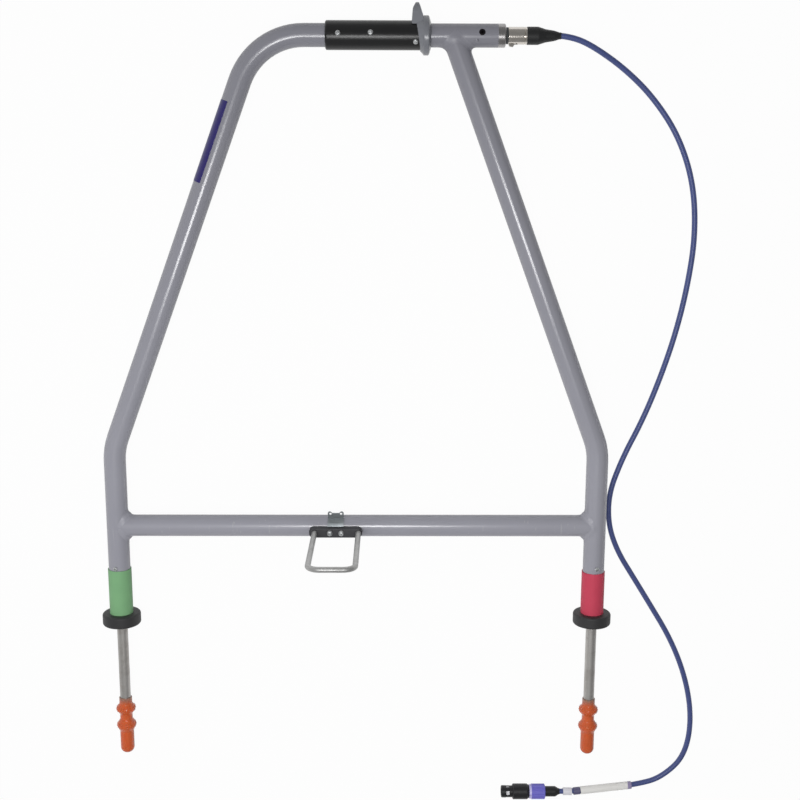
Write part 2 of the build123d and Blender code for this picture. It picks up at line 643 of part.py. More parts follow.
def make_guard():
    """Ring behind the hand with a slanted cone to the grip and a fin that sits astride it."""
    ring_left = GUARD_LEFT
    rim_r = GRIP_OD / 2 + FIT_GAP + GUARD_CUP_WALL
    ring = spun(
        outline(
            (TUBE_R + FIT_GAP, 0),
            (GUARD_RING_OD / 2, 0, 1.1),
            (GUARD_RING_OD / 2, GUARD_RING_FLAT, 1.6),
            (GUARD_RING_OD / 2 - GUARD_RING_DISH, GUARD_RING_WIDTH),
            (TUBE_R + FIT_GAP, GUARD_RING_WIDTH),
        ),
        (ring_left, Y_HANDLE, Z_AXIS),
        HANDLE_DIR,
    )
    slant = (GUARD_CUP_TOP - GUARD_CUP_BOTTOM) / 2
    rim_centre = Vector(ring_left - GUARD_CUP_BOTTOM - slant, Y_HANDLE, Z_AXIS)
    rim_plane = Plane(origin=rim_centre, x_dir=(-slant, rim_r, 0), z_dir=(rim_r, slant, 0))
    wide_plane = Plane(origin=(ring_left, Y_HANDLE, Z_AXIS), x_dir=(0, 1, 0), z_dir=(1, 0, 0))
    cup = loft(
        [
            rim_plane * Ellipse(math.hypot(slant, rim_r), rim_r),
            wide_plane * Circle(GUARD_RING_OD / 2 - GUARD_CUP_LIP),
        ],
        ruled=True,
    )
    axis_left = Vector(ring_left - 2 * GUARD_FIN_FOOT, Y_HANDLE, Z_AXIS)
    axis_right = Vector(GUARD_FACE + 1.0, Y_HANDLE, Z_AXIS)
    foot = GUARD_FACE - GUARD_FIN_FOOT
    tip = GUARD_FACE - GUARD_FIN_TIP
    fin_face = outline(
        (foot, GUARD_FIN_SADDLE, 1.2),
        (foot + 1.2, GUARD_FIN_SHOULDER, 6.0),
        (tip - 1.2, GUARD_FIN_REACH, 2.0),
        (tip + 1.8, GUARD_FIN_REACH, 2.0),
        (ring_left - 0.4, GUARD_RING_OD / 2 - GUARD_FIN_LAP),
        (ring_left + GUARD_FIN_LAP, GUARD_FIN_SADDLE),
    )
    fin = extrude(Pos(0, Y_HANDLE, Z_AXIS) * fin_face, GUARD_FIN_WIDTH / 2, both=True)
    arch_plane = Plane(origin=(foot - 5, Y_HANDLE, Z_AXIS), x_dir=(0, 1, 0), z_dir=(1, 0, 0))
    arch = outline(
        (0, -GUARD_FIN_WIDTH / 2),
        (GUARD_FIN_REACH, -GUARD_FIN_WIDTH / 2, GUARD_FIN_WIDTH * 0.42),
        (GUARD_FIN_REACH, GUARD_FIN_WIDTH / 2, GUARD_FIN_WIDTH * 0.42),
        (0, GUARD_FIN_WIDTH / 2),
    )
    fin &= extrude(arch_plane * arch, 2 * GUARD_FIN_FOOT)
    guard = ring + cup + fin
    guard -= bar(axis_left, axis_right, TUBE_R + FIT_GAP)
    return guard - bar(axis_left, (ring_left, Y_HANDLE, Z_AXIS), GRIP_OD / 2 + FIT_GAP)


# Lead plug with its latch


def make_plug():
    """Metal plug in the ferrule, its insert, contacts, gasket, latch and boot."""
    axis_start = Vector(0, Y_HANDLE, Z_AXIS)
    nose_tip = MOUTH - PLUG_NOSE_LENGTH
    bore = NOSE_R - SHELL_WALL
    nose = SHELL_START - nose_tip
    groove = SHELL_END - nose_tip - SHELL_GROOVE_INSET
    shell = spun(
        outline(
            (bore, 0),
            (NOSE_R, 0),
            (NOSE_R, nose),
            (SHELL_D / 2, nose, 0.6),
            (SHELL_D / 2, groove),
            (SHELL_D / 2 - SHELL_GROOVE, groove + SHELL_GROOVE),
            (SHELL_D / 2, groove + 2 * SHELL_GROOVE),
            (SHELL_D / 2, SHELL_END - nose_tip, 0.5),
            (bore, SHELL_END - nose_tip),
        ),
        axis_start + HANDLE_DIR * nose_tip,
        HANDLE_DIR,
    )
    insert_end = SHELL_START + PLUG_INSERT_BEYOND
    insert_start = nose_tip + PLUG_INSERT_SETBACK
    insert = ring_about(
        axis_start + HANDLE_DIR * insert_start, HANDLE_DIR, insert_end - insert_start, bore - FIT_GAP, 0
    )
    contacts = []
    contact_r = PIN_D / 2 + PLUG_NOSE_GAP
    for y, z in pin_places(PIN_CIRCLE_D, 3):
        front = (insert_start, Y_HANDLE + y, Z_AXIS + z)
        back = (insert_end + CONTACT_TAIL, Y_HANDLE + y, Z_AXIS + z)
        insert -= bar(front, back, contact_r + CONTACT_WALL)
        sleeve = bar(front, back, contact_r + CONTACT_WALL)
        contacts.append(sleeve - bar(front, (insert_end, Y_HANDLE + y, Z_AXIS + z), contact_r))
    gasket = ring_about(
        axis_start + HANDLE_DIR * (MOUTH + PLUG_GAP),
        HANDLE_DIR,
        GASKET_WIDTH,
        GASKET_D / 2,
        NOSE_R + FIT_GAP,
        0.5,
    )
    slot_width = LATCH_WIDTH + 2 * LATCH_SIDE_GAP
    slot_length = LATCH_X + LATCH_TAIL + LATCH_END_GAP - SHELL_START
    slot_depth = SHELL_D / 2 - bore + LATCH_SLOT_OPEN
    slot = Pos(SHELL_START, Y_HANDLE - SHELL_D / 2, Z_AXIS) * Box(
        2 * slot_length, 2 * slot_depth, slot_width
    )
    lever, pin = make_latch()
    shell = shell - slot
    for z in (-1, 1):
        shell -= bar(
            (LATCH_X, LATCH_Y, Z_AXIS),
            (LATCH_X, LATCH_Y, Z_AXIS + z * (slot_width / 2 + LATCH_PIN_LAND)),
            LATCH_PIN_D / 2,
        )
    boot_face = outline(
        (0, 0),
        (BOOT_PROFILE[0][0], 0, 0.5),
        *BOOT_PROFILE,
        (BOOT_PROFILE[-1][0], BOOT_LENGTH),
        (0, BOOT_LENGTH),
    )
    boot = spun(boot_face, axis_start + HANDLE_DIR * SHELL_END, HANDLE_DIR)
    return {
        "plug_shell": shell,
        "plug_insert": insert,
        "plug_contacts": contacts,
        "plug_gasket": gasket,
        "latch_pin": pin,
        "latch_lever": lever,
        "plug_boot": boot,
    }


def make_latch():
    """Thumb lever in the shell's slot and the pin that it turns on."""
    outer = SHELL_D / 2 + LATCH_RISE
    inner = outer - LATCH_DEPTH
    front = LATCH_X - LATCH_LENGTH
    tail = LATCH_X + LATCH_TAIL
    face = outline(
        (tail, -inner, 0.3),
        (tail, -outer, 0.6),
        (front + LATCH_PAD + 1.6, -outer, 0.8),
        (front + LATCH_PAD, -LATCH_PAD_REACH, 0.7),
        (front + 1.0, -LATCH_PAD_REACH + 0.8, 0.7),
        (front, -inner, 0.3),
    )
    lever = extrude(Pos(0, Y_HANDLE, Z_AXIS) * face, LATCH_WIDTH / 2, both=True)
    half_pin = LATCH_WIDTH / 2 + LATCH_SIDE_GAP + LATCH_PIN_LAND
    low = (LATCH_X, LATCH_Y, Z_AXIS - half_pin)
    high = (LATCH_X, LATCH_Y, Z_AXIS + half_pin)
    lever -= bar(low, high, LATCH_PIN_D / 2 + FIT_GAP)
    return lever, bar(low, high, LATCH_PIN_D / 2)


# Cable and far plug


def cable_radii(points):
    """Largest bend at each corner that leaves a tenth of each run straight."""
    radii = []
    for before, here, after in zip(points, points[1:], points[2:]):
        first = here - before
        second = after - here
        turn = math.radians(first.get_angle(second))
        radii.append(0.45 * min(first.length, second.length) / math.tan(turn / 2))
    return radii


def make_cable():
    """The cable along its route."""
    radii = cable_radii(CABLE_ROUTE)
    path = FilletPolyline(*CABLE_ROUTE, radius=radii)
    cable = swept(path, CABLE_D / 2)
    filled = math.pi * CABLE_D**2 / 4 * path.length
    print("cable radii", [round(r) for r in radii])
    print("cable length", round(path.length, 1), "volume ratio", round(cable.volume / filled, 4))
    return cable


def make_cable_sleeves():
    """Marker band, shrink sleeve and label on the cable next to the far plug."""
    boot_end = Vector(FAR_END, FAR_Y, FAR_Z)
    run = (LABEL_RUN_END - LABEL_RUN_START).normalized()
    bore = CABLE_D / 2 + SLEEVE_BORE_GAP
    marker = ring_about(
        boot_end + HANDLE_DIR * MARKER_START, HANDLE_DIR, MARKER_LENGTH, MARKER_D / 2, bore, 0.4
    )
    shrink_start = LABEL_RUN_START + run * (SHRINK_START - FAR_LEAD_OUT)
    shrink = ring_about(shrink_start, run, SHRINK_LENGTH, SHRINK_D / 2, bore, 0.4)
    label_start = LABEL_RUN_START + run * (LABEL_START - FAR_LEAD_OUT)
    label = ring_about(label_start, run, LABEL_LENGTH, LABEL_D / 2, bore, 0.3)
    return {"marker_band": marker, "shrink_sleeve": shrink, "cable_label": label}


def make_far_plug():
    """Plug for the receiver: windowed nose, twist collar, clamp nut and boot."""
    rim = Vector(FAR_RIM_X, FAR_Y, FAR_Z)
    core_length = FAR_COLLAR_LENGTH + 2 * FAR_COLLAR_GAP
    nose = spun(
        outline(
            (0, FAR_NOSE_DEPTH),
            (FAR_NOSE_BORE_D / 2, FAR_NOSE_DEPTH),
            (FAR_NOSE_BORE_D / 2, 0),
            (FAR_NOSE_D / 2, 0, FAR_NOSE_ROUND),
            (FAR_NOSE_D / 2, FAR_LAND),
            (FAR_NOSE_D / 2 - FAR_RELIEF, FAR_LAND),
            (FAR_NOSE_D / 2 - FAR_RELIEF, FAR_NOSE_LENGTH),
            (FAR_CORE_D / 2, FAR_NOSE_LENGTH),
            (FAR_CORE_D / 2, FAR_NOSE_LENGTH + core_length),
            (0, FAR_NOSE_LENGTH + core_length),
        ),
        rim,
        HANDLE_DIR,
    )
    for i in range(FAR_WINDOW_COUNT):
        turn = FAR_WINDOW_TURN + 360 / FAR_WINDOW_COUNT * i
        depth = FAR_NOSE_D - FAR_NOSE_BORE_D + 1
        window = Pos(0, 0, FAR_NOSE_D / 2) * Box(FAR_WINDOW_LENGTH, FAR_WINDOW_WIDTH, depth)
        nose -= Pos(FAR_RIM_X + FAR_WINDOW_RISE, FAR_Y, FAR_Z) * Rot(X=turn) * window
    insert_face = FAR_RIM_X + FAR_NOSE_DEPTH - FAR_INSERT_THICKNESS
    insert = ring_about(
        (insert_face, FAR_Y, FAR_Z), HANDLE_DIR, FAR_INSERT_THICKNESS, FAR_NOSE_BORE_D / 2 - FIT_GAP, 0
    )
    pins = []
    for y, z in pin_places(FAR_PIN_CIRCLE_D, FAR_PIN_COUNT):
        front = (FAR_RIM_X + 2.0, FAR_Y + y, FAR_Z + z)
        back = (insert_face + FAR_INSERT_THICKNESS, FAR_Y + y, FAR_Z + z)
        pins.append(bar(front, back, FAR_PIN_D / 2))
        insert -= bar(front, back, FAR_PIN_D / 2)
    collar = spun(
        outline(
            (FAR_CORE_D / 2 + FAR_CORE_GAP, 0),
            (FAR_COLLAR_D / 2 - 0.9, 0),
            (FAR_COLLAR_D / 2, 0.9),
            (FAR_COLLAR_D / 2, FAR_COLLAR_LENGTH - 2.6, 1.0),
            (FAR_COLLAR_D / 2 - 1.9, FAR_COLLAR_LENGTH),
            (FAR_CORE_D / 2 + FAR_CORE_GAP, FAR_COLLAR_LENGTH),
        ),
        (FAR_COLLAR_X, FAR_Y, FAR_Z),
        HANDLE_DIR,
    )
    nut = spun(
        outline(
            (0, 0),
            (FAR_NUT_D / 2 - 0.8, 0),
            (FAR_NUT_D / 2 - 0.5, FAR_NUT_LIP),
            (FAR_NUT_D / 2, FAR_NUT_LIP + 0.4),
            (FAR_NUT_D / 2, FAR_NUT_LENGTH - 1.0, 0.6),
            (FAR_BOOT_D / 2 + 0.6, FAR_NUT_LENGTH),
            (0, FAR_NUT_LENGTH),
        ),
        (FAR_NUT_X, FAR_Y, FAR_Z),
        HANDLE_DIR,
    )
    for i in range(FAR_NUT_RIBS):
        flute = bar(
            (FAR_NUT_X + FAR_NUT_LIP + 1.6, 0, FAR_NUT_D / 2 + FAR_RIB_DEPTH),
            (FAR_NUT_X + FAR_NUT_LENGTH + 1, 0, FAR_NUT_D / 2 + FAR_RIB_DEPTH),
            2 * FAR_RIB_DEPTH,
        )
        gap = Pos(FAR_NUT_X, 0, FAR_NUT_D / 2) * Box(
            2 * FAR_NUT_LIP - 1.0, FAR_TOOTH_GAP, 2 * FAR_TOOTH_DEPTH
        )
        nut -= Pos(0, FAR_Y, FAR_Z) * Rot(X=360 / FAR_NUT_RIBS * i) * (flute + gap)
    boot = spun(
        outline(
            (0, 0),
            (FAR_BOOT_D / 2, 0),
            (FAR_BOOT_D / 2, FAR_BOOT_STRAIGHT, 2.0),
            (FAR_BOOT_END_D / 2, FAR_BOOT_LENGTH - 1.2, 1.0),
            (FAR_BOOT_END_D / 2, FAR_BOOT_LENGTH),
            (0, FAR_BOOT_LENGTH),
        ),
        (FAR_BOOT_X, FAR_Y, FAR_Z),
        HANDLE_DIR,
    )
    return {
        "far_nose": nose,
        "far_insert": insert,
        "far_pins": pins,
        "far_collar": collar,
        "far_clamp_nut": nut,
        "far_boot": boot,
    }


# Receiver holder


def make_holder():
    """Block, loop, screws and the strap with its ears on the cross tube."""
    axis_low = Vector(HOLDER_X - BLOCK_WIDTH, Y_CROSS, Z_AXIS)
    axis_high = Vector(HOLDER_X + BLOCK_WIDTH, Y_CROSS, Z_AXIS)
    footprint = Pos(HOLDER_X, BLOCK_Y) * RectangleRounded(BLOCK_WIDTH, BLOCK_HEIGHT, BLOCK_ROUND)
    block = extrude(Pos(0, 0, Z_AXIS + BLOCK_BACK) * footprint, BLOCK_FRONT - BLOCK_BACK)
    front_edges = block.faces().sort_by(Axis.Z)[-1].edges()
    block = fillet(front_edges, BLOCK_EDGE)
    block -= bar(axis_low, axis_high, TUBE_R + FIT_GAP)
    strap_outer = TUBE_R + LINER_THICKNESS + STRAP_THICKNESS
    strap, liner = make_strap()
    pocket = bar(
        (HOLDER_X - STRAP_WIDTH / 2 - STRAP_SIDE_GAP, Y_CROSS, Z_AXIS),
        (HOLDER_X + STRAP_WIDTH / 2 + STRAP_SIDE_GAP, Y_CROSS, Z_AXIS),
        strap_outer + FIT_GAP,
    )
    pocket &= Pos(HOLDER_X, Y_CROSS + TUBE_OD, Z_AXIS) * Box(2 * BLOCK_WIDTH, 2 * TUBE_OD, 2 * TUBE_OD)
    block -= pocket
    front = Z_AXIS + BLOCK_FRONT
    seat_z = Z_AXIS + TUBE_R + LOOP_FLOOR
    left = HOLDER_X + LOOP_SHIFT - LOOP_WIDTH / 2
    right = left + LOOP_WIDTH
    loop_path = FilletPolyline(
        (left, BLOCK_Y, seat_z),
        (left, BLOCK_Y, Z_AXIS + LOOP_REACH),
        (right, BLOCK_Y, Z_AXIS + LOOP_REACH),
        (right, BLOCK_Y, seat_z),
        radius=LOOP_CORNER,
    )
    loop = swept(loop_path, LOOP_ROD_D / 2)
    for x in (left, right):
        block -= bar((x, BLOCK_Y, seat_z), (x, BLOCK_Y, front + 1), LOOP_ROD_D / 2)
    screws = []
    holes = []
    shank = BLOCK_FRONT - BORE_R + 2.0
    for x in (HOLDER_X - SCREW_SPACING / 2, HOLDER_X + SCREW_SPACING / 2):
        seat = Vector(x, BLOCK_Y, front)
        up = Vector(0, 0, 1)
        screws.append(
            domed_fastener(seat, up, SCREW_HEAD_D, SCREW_HEAD_HEIGHT, SCREW_SHANK_D, shank)
        )
        holes.append(bar(seat - up * (shank + 1), seat + up, SCREW_SHANK_D / 2 + FIT_GAP))
    for hole in holes:
        block -= hole
        strap -= hole
        liner -= hole
    pieces = {
        "holder_block": block,
        "holder_screws": screws,
        "receiver_loop": loop,
        "catch_strap": strap,
        "catch_liner": liner,
    }
    return pieces, holes


def strap_point(angle, radius):
    """Place on a circle round the cross tube, turned from its top towards the handle."""
    turn = math.radians(angle)
    return (radius * math.sin(turn), radius * math.cos(turn))


def arc_strip(inner, outer, start, end):
    """Face between two circles round the cross tube and two angles, in the tube's section."""
    middle = (start + end) / 2
    return make_face(
        [
            ThreePointArc(strap_point(start, inner), strap_point(middle, inner), strap_point(end, inner)),
            Line(strap_point(end, inner), strap_point(end, outer)),
            ThreePointArc(strap_point(end, outer), strap_point(middle, outer), strap_point(start, outer)),
            Line(strap_point(start, outer), strap_point(start, inner)),
        ]
    )


def make_strap():
    """Steel strap over the tube with a window and two eared holes, on a rubber liner."""
    section = Plane(
        origin=(HOLDER_X, Y_CROSS, Z_AXIS), x_dir=(0, 1, 0), z_dir=(1, 0, 0)
    )
    inner = TUBE_R + LINER_THICKNESS
    outer = inner + STRAP_THICKNESS
    half = STRAP_WIDTH / 2
    band = extrude(section * arc_strip(inner, outer, STRAP_START, STRAP_END), half, both=True)
    liner_face = arc_strip(TUBE_R, inner, STRAP_START, STRAP_END - 2)
    liner = extrude(section * liner_face, half, both=True)
    root = strap_point(STRAP_END, inner)
    tilt = math.radians(EAR_TILT)
    ear_in = EAR_SPACING / 2 - EAR_DIP / 2
    flange_face = outline(
        (-half, 0),
        (half, 0),
        (half, EAR_LENGTH, EAR_ROUND),
        (ear_in + EAR_DIP / 2, EAR_LENGTH, EAR_ROUND / 2),
        (ear_in - EAR_DIP / 2, EAR_LENGTH - EAR_DIP, EAR_ROUND / 2),
        (EAR_DIP / 2 - ear_in, EAR_LENGTH - EAR_DIP, EAR_ROUND / 2),
        (-EAR_DIP / 2 - ear_in, EAR_LENGTH, EAR_ROUND / 2),
        (-half, EAR_LENGTH, EAR_ROUND),
    )
    for side in (-1, 1):
        flange_face -= Pos(side * EAR_SPACING / 2, EAR_LENGTH - EAR_HOLE_D) * Circle(EAR_HOLE_D / 2)
    flange_plane = Plane(
        origin=(HOLDER_X, Y_CROSS + root[0], Z_AXIS + root[1]),
        x_dir=(1, 0, 0),
        z_dir=(0, -math.sin(tilt), math.cos(tilt)),
    )
    flange = extrude(flange_plane * flange_face, STRAP_THICKNESS)
    window_y, window_z = strap_point(WINDOW_TURN, outer)
    window = Pos(HOLDER_X, Y_CROSS + window_y, Z_AXIS + window_z) * Rot(X=-WINDOW_TURN)
    band -= window * Box(WINDOW_WIDTH, WINDOW_LENGTH, 2 * STRAP_THICKNESS - 0.1)
    return band + flange, liner


# Lead wires inside the tubes


def make_wires():
    """Insulated wires from the spikes' terminals to the socket's pins."""
    bend = Y_SPIGOT + STUD_THREAD + WIRE_LEAD_OUT
    tail = SOCKET_FLOOR - PIN_TAIL
    (left_y, left_z), (right_y, right_z), _ = pin_places(PIN_CIRCLE_D, 3)
    left_path = FilletPolyline(
        (-HALF, Y_SPIGOT + TERMINAL_THICKNESS, Z_AXIS + WIRE_TIE),
        (-HALF, bend, Z_AXIS + WIRE_TIE),
        (-HALF, bend + WIRE_SWAN, Z_AXIS + left_z),
        (-HALF, Y_KNEE, Z_AXIS + left_z),
        (-SHOULDER, Y_HANDLE + left_y, Z_AXIS + left_z),
        (tail, Y_HANDLE + left_y, Z_AXIS + left_z),
        radius=[WIRE_BEND, WIRE_BEND, BEND_RADIUS, BEND_RADIUS],
    )
    right_path = FilletPolyline(
        (HALF, Y_SPIGOT + TERMINAL_THICKNESS, Z_AXIS - WIRE_TIE),
        (HALF, bend, Z_AXIS - WIRE_TIE),
        (HALF, bend + WIRE_SWAN, Z_AXIS + right_z),
        (HALF, Y_KNEE, Z_AXIS + right_z),
        (SHOULDER, Y_HANDLE + right_y, Z_AXIS + right_z),
        (tail, Y_HANDLE + right_y, Z_AXIS + right_z),
        radius=[WIRE_BEND, WIRE_BEND, BEND_RADIUS, WIRE_BEND],
    )
    return {
        "lead_wire_left": swept(left_path, WIRE_D / 2),
        "lead_wire_right": swept(right_path, WIRE_D / 2),
    }


def assemble():
    """Every piece by its node name; a list is a group of like solids."""
    nodes = make_frame()
    feet = {"left": make_foot(-1), "right": make_foot(1)}
    for name, foot in feet.items():
        nodes[f"foot_insulator_{name}"] = foot["insulator"]
        nodes[f"spike_{name}"] = foot["spike"]
        nodes[f"colour_sleeve_{name}"] = foot["sleeve"]
    nodes["spike_nuts"] = [foot["nut"] for foot in feet.values()]
    nodes["lead_terminals"] = [foot["terminal"] for foot in feet.values()]
    nodes["leg_screws"] = [foot["screw"] for foot in feet.values()]
    nodes["main_tube"] -= feet["left"]["hole"]
    nodes["right_leg_tube"] -= feet["right"]["hole"]
    handle, handle_holes = make_handle_pieces()
    nodes.update(handle)
    for hole in handle_holes:
        nodes["main_tube"] -= hole
    holder, holder_holes = make_holder()
    nodes.update(holder)
    for hole in holder_holes:
        nodes["cross_tube"] -= hole
    nodes.update(make_plug())
    nodes["cable"] = make_cable()
    nodes.update(make_cable_sleeves())
    nodes.update(make_far_plug())
    nodes.update(make_wires())
    nodes["tip_cover_left"] = make_cover(-1)
    nodes["tip_cover_right"] = make_cover(1)
    return nodes


os.makedirs("parts", exist_ok=True)
for node, shape in assemble().items():
    solids = shape if isinstance(shape, list) else [shape]
    body = Compound(children=[solid for piece in solids for solid in piece.solids()])
    export_step(body, f"parts/{node}.step")
print("cross tube axis at y", round(Y_CROSS, 3), "handlebar axis at y", round(Y_HANDLE, 3))
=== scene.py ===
# %% [markdown]
# # A-frame cable fault locator
#
# This lesson dresses a finished CAD model. The solids already have their real sizes and places, so
# Blender adds what a solid can't show: the finish of each surface, the smooth line of the cable,
# the heads of small fixings, the weld beads and the film stuck on the frame. All sizes are in metres.

import math

import bmesh
import bpy
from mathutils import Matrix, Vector


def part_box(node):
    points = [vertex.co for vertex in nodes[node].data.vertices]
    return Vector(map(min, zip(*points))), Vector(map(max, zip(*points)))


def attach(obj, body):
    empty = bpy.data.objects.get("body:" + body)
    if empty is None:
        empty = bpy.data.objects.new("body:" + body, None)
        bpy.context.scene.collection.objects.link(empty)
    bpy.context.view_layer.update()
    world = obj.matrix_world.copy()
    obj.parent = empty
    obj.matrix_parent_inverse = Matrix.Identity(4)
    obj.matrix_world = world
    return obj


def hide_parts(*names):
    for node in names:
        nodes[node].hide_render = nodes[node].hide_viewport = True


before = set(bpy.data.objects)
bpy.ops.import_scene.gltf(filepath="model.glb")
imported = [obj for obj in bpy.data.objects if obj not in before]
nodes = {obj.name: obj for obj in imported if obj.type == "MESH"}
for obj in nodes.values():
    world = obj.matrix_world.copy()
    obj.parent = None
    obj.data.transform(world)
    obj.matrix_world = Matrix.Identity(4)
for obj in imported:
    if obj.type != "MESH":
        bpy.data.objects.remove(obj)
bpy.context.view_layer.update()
scene = bpy.context.scene

# %% [markdown]
# ## Camera
#
# The photograph looks almost straight down on the frame, which lies on its back. Its camera was found
# by matching the edges of the tubes, whose width is known. A Blender camera that isn't turned looks
# down with +Y at the top of the picture, so three small turns are all it needs.

# %% Camera
LENS_MM = 54.0
SENSOR_MM = 36.0
CAMERA_PLACE = (0.0411, 0.2781, 1.3861)
CAMERA_TURN = (-11.471, -0.376, 0.167)  # degrees about X, Y and Z

camera_data = bpy.data.cameras.new("camera")
camera_data.lens = LENS_MM
camera_data.sensor_width = SENSOR_MM
camera_data.sensor_fit = "HORIZONTAL"
camera = bpy.data.objects.new("camera", camera_data)
camera.location = CAMERA_PLACE
camera.rotation_euler = [math.radians(turn) for turn in CAMERA_TURN]
scene.collection.objects.link(camera)
scene.camera = camera
print("camera at", CAMERA_PLACE)

# %% [markdown]
# ## Cable
#
# A cable has one smooth line. The CAD tube is made of straight runs and arcs, so it is replaced by a
# NURBS curve with the same points as control points: order 3 keeps close to them and never kinks.
# The bevel gives the curve its thickness.

# %% Cable line
CROSS_TUBE_Y = -0.1502
CABLE_D = 0.0065
CABLE_POINTS = (  # Y counts from the cross tube's axis
    (0.2257, 0.5580, 0.0225),
    (0.2415, 0.5564, 0.0221),
    (0.2665, 0.5450, 0.0182),
    (0.3006, 0.5235, 0.0090),
    (0.3335, 0.4942, 0.0039),
    (0.3642, 0.4520, 0.0033),
    (0.3838, 0.3992, 0.0033),
    (0.3889, 0.3405, 0.0033),
    (0.3830, 0.2840, 0.0033),
    (0.3722, 0.2290, 0.0033),
    (0.3565, 0.1753, 0.0033),
    (0.3376, 0.1238, 0.0033),
    (0.3148, 0.0761, 0.0033),
    (0.2991, 0.0272, 0.0033),
    (0.3059, -0.0254, 0.0033),
    (0.3446, -0.0868, 0.0033),
    (0.3920, -0.1639, 0.0033),
    (0.4149, -0.2401, 0.0033),
    (0.4113, -0.3042, 0.0033),
    (0.3811, -0.3363, 0.0033),
    (0.3500, -0.3449, 0.0045),
    (0.30915, -0.34833, 0.0070),
    (0.2683, -0.3516, 0.0095),
    (0.2521, -0.3516, 0.0095),
)

cable_data = bpy.data.curves.new("cable_line", "CURVE")
cable_data.dimensions = "3D"
cable_data.resolution_u = 16
cable_data.bevel_depth = CABLE_D / 2
cable_data.bevel_resolution = 6
cable_data.use_fill_caps = True
spline = cable_data.splines.new("NURBS")
spline.points.add(len(CABLE_POINTS) - 1)
for point, (x, y, z) in zip(spline.points, CABLE_POINTS):
    point.co = (x, y + CROSS_TUBE_Y, z, 1.0)
spline.order_u = 3
spline.use_endpoint_u = True
cable = bpy.data.objects.new("lead_cable", cable_data)
scene.collection.objects.link(cable)
print("cable line has", len(spline.points), "control points")

# %% [markdown]
# ## Tools for node trees
#
# Finishes, light and repeated pieces are all node trees. Writing a tree as sums is easier to read than
# wiring nodes one by one, so `Value` wraps a socket and adds a Math node for each sum, and `Tree.node`
# makes any other node.

# %% Sums on sockets


class Value:
    """A number, colour or shape on its way through a node tree. A sum on it adds a Math node."""

    def __init__(self, tree, socket):
        self.tree = tree
        self.socket = socket

    def sum(self, operation, first, second=0.0):
        return self.tree.node("ShaderNodeMath", {"operation": operation}, {0: first, 1: second})

    def __add__(self, other):
        return self.sum("ADD", self, other)

    def __radd__(self, other):
        return self.sum("ADD", other, self)

    def __sub__(self, other):
        return self.sum("SUBTRACT", self, other)

    def __rsub__(self, other):
        return self.sum("SUBTRACT", other, self)

    def __mul__(self, other):
        return self.sum("MULTIPLY", self, other)

    def __rmul__(self, other):
        return self.sum("MULTIPLY", other, self)

    def __truediv__(self, other):
        return self.sum("DIVIDE", self, other)

    def most(self, other):
        return self.sum("MAXIMUM", self, other)


# %% Node trees


class Tree:
    """A node tree that is written as sums and calls."""

    def __init__(self, nodes_and_links):
        self.tree = nodes_and_links

    def link(self, value, socket):
        """A value goes to a socket as a link, and anything else as the socket's own number."""
        if isinstance(value, Value):
            self.tree.links.new(value.socket, socket)
        else:
            socket.default_value = value

    def node(self, kind, settings=None, inputs=None, out=0):
        """Any node: its settings first, then the values or links of its sockets."""
        made = self.tree.nodes.new(kind)
        for name, value in (settings or {}).items():
            if name == "stops":
                for stop, (place, level) in zip(made.color_ramp.elements, value):
                    stop.position = place
                    stop.color = (level, level, level, 1.0)
            else:
                setattr(made, name, value)
        for name, value in (inputs or {}).items():
            self.link(value, made.inputs[name])
        return Value(self, made.outputs[out])

    def ramp(self, value, low, high):
        """0 below low and 1 above high."""
        stops = [(low, 0.0), (high, 1.0)]
        return self.node("ShaderNodeValToRGB", {"stops": stops}, {"Fac": value})

    def mix(self, mask, first, second):
        """First colour where the mask is 0, second where it is 1."""
        inputs = {0: mask, 6: first, 7: second}
        return self.node("ShaderNodeMix", {"data_type": "RGBA"}, inputs, out=2)


# %% Finishes
EDGE_SAMPLES = 4
EDGE_FADE = (0.02, 0.16)  # how far a normal turns where an edge begins to show, and shows in full


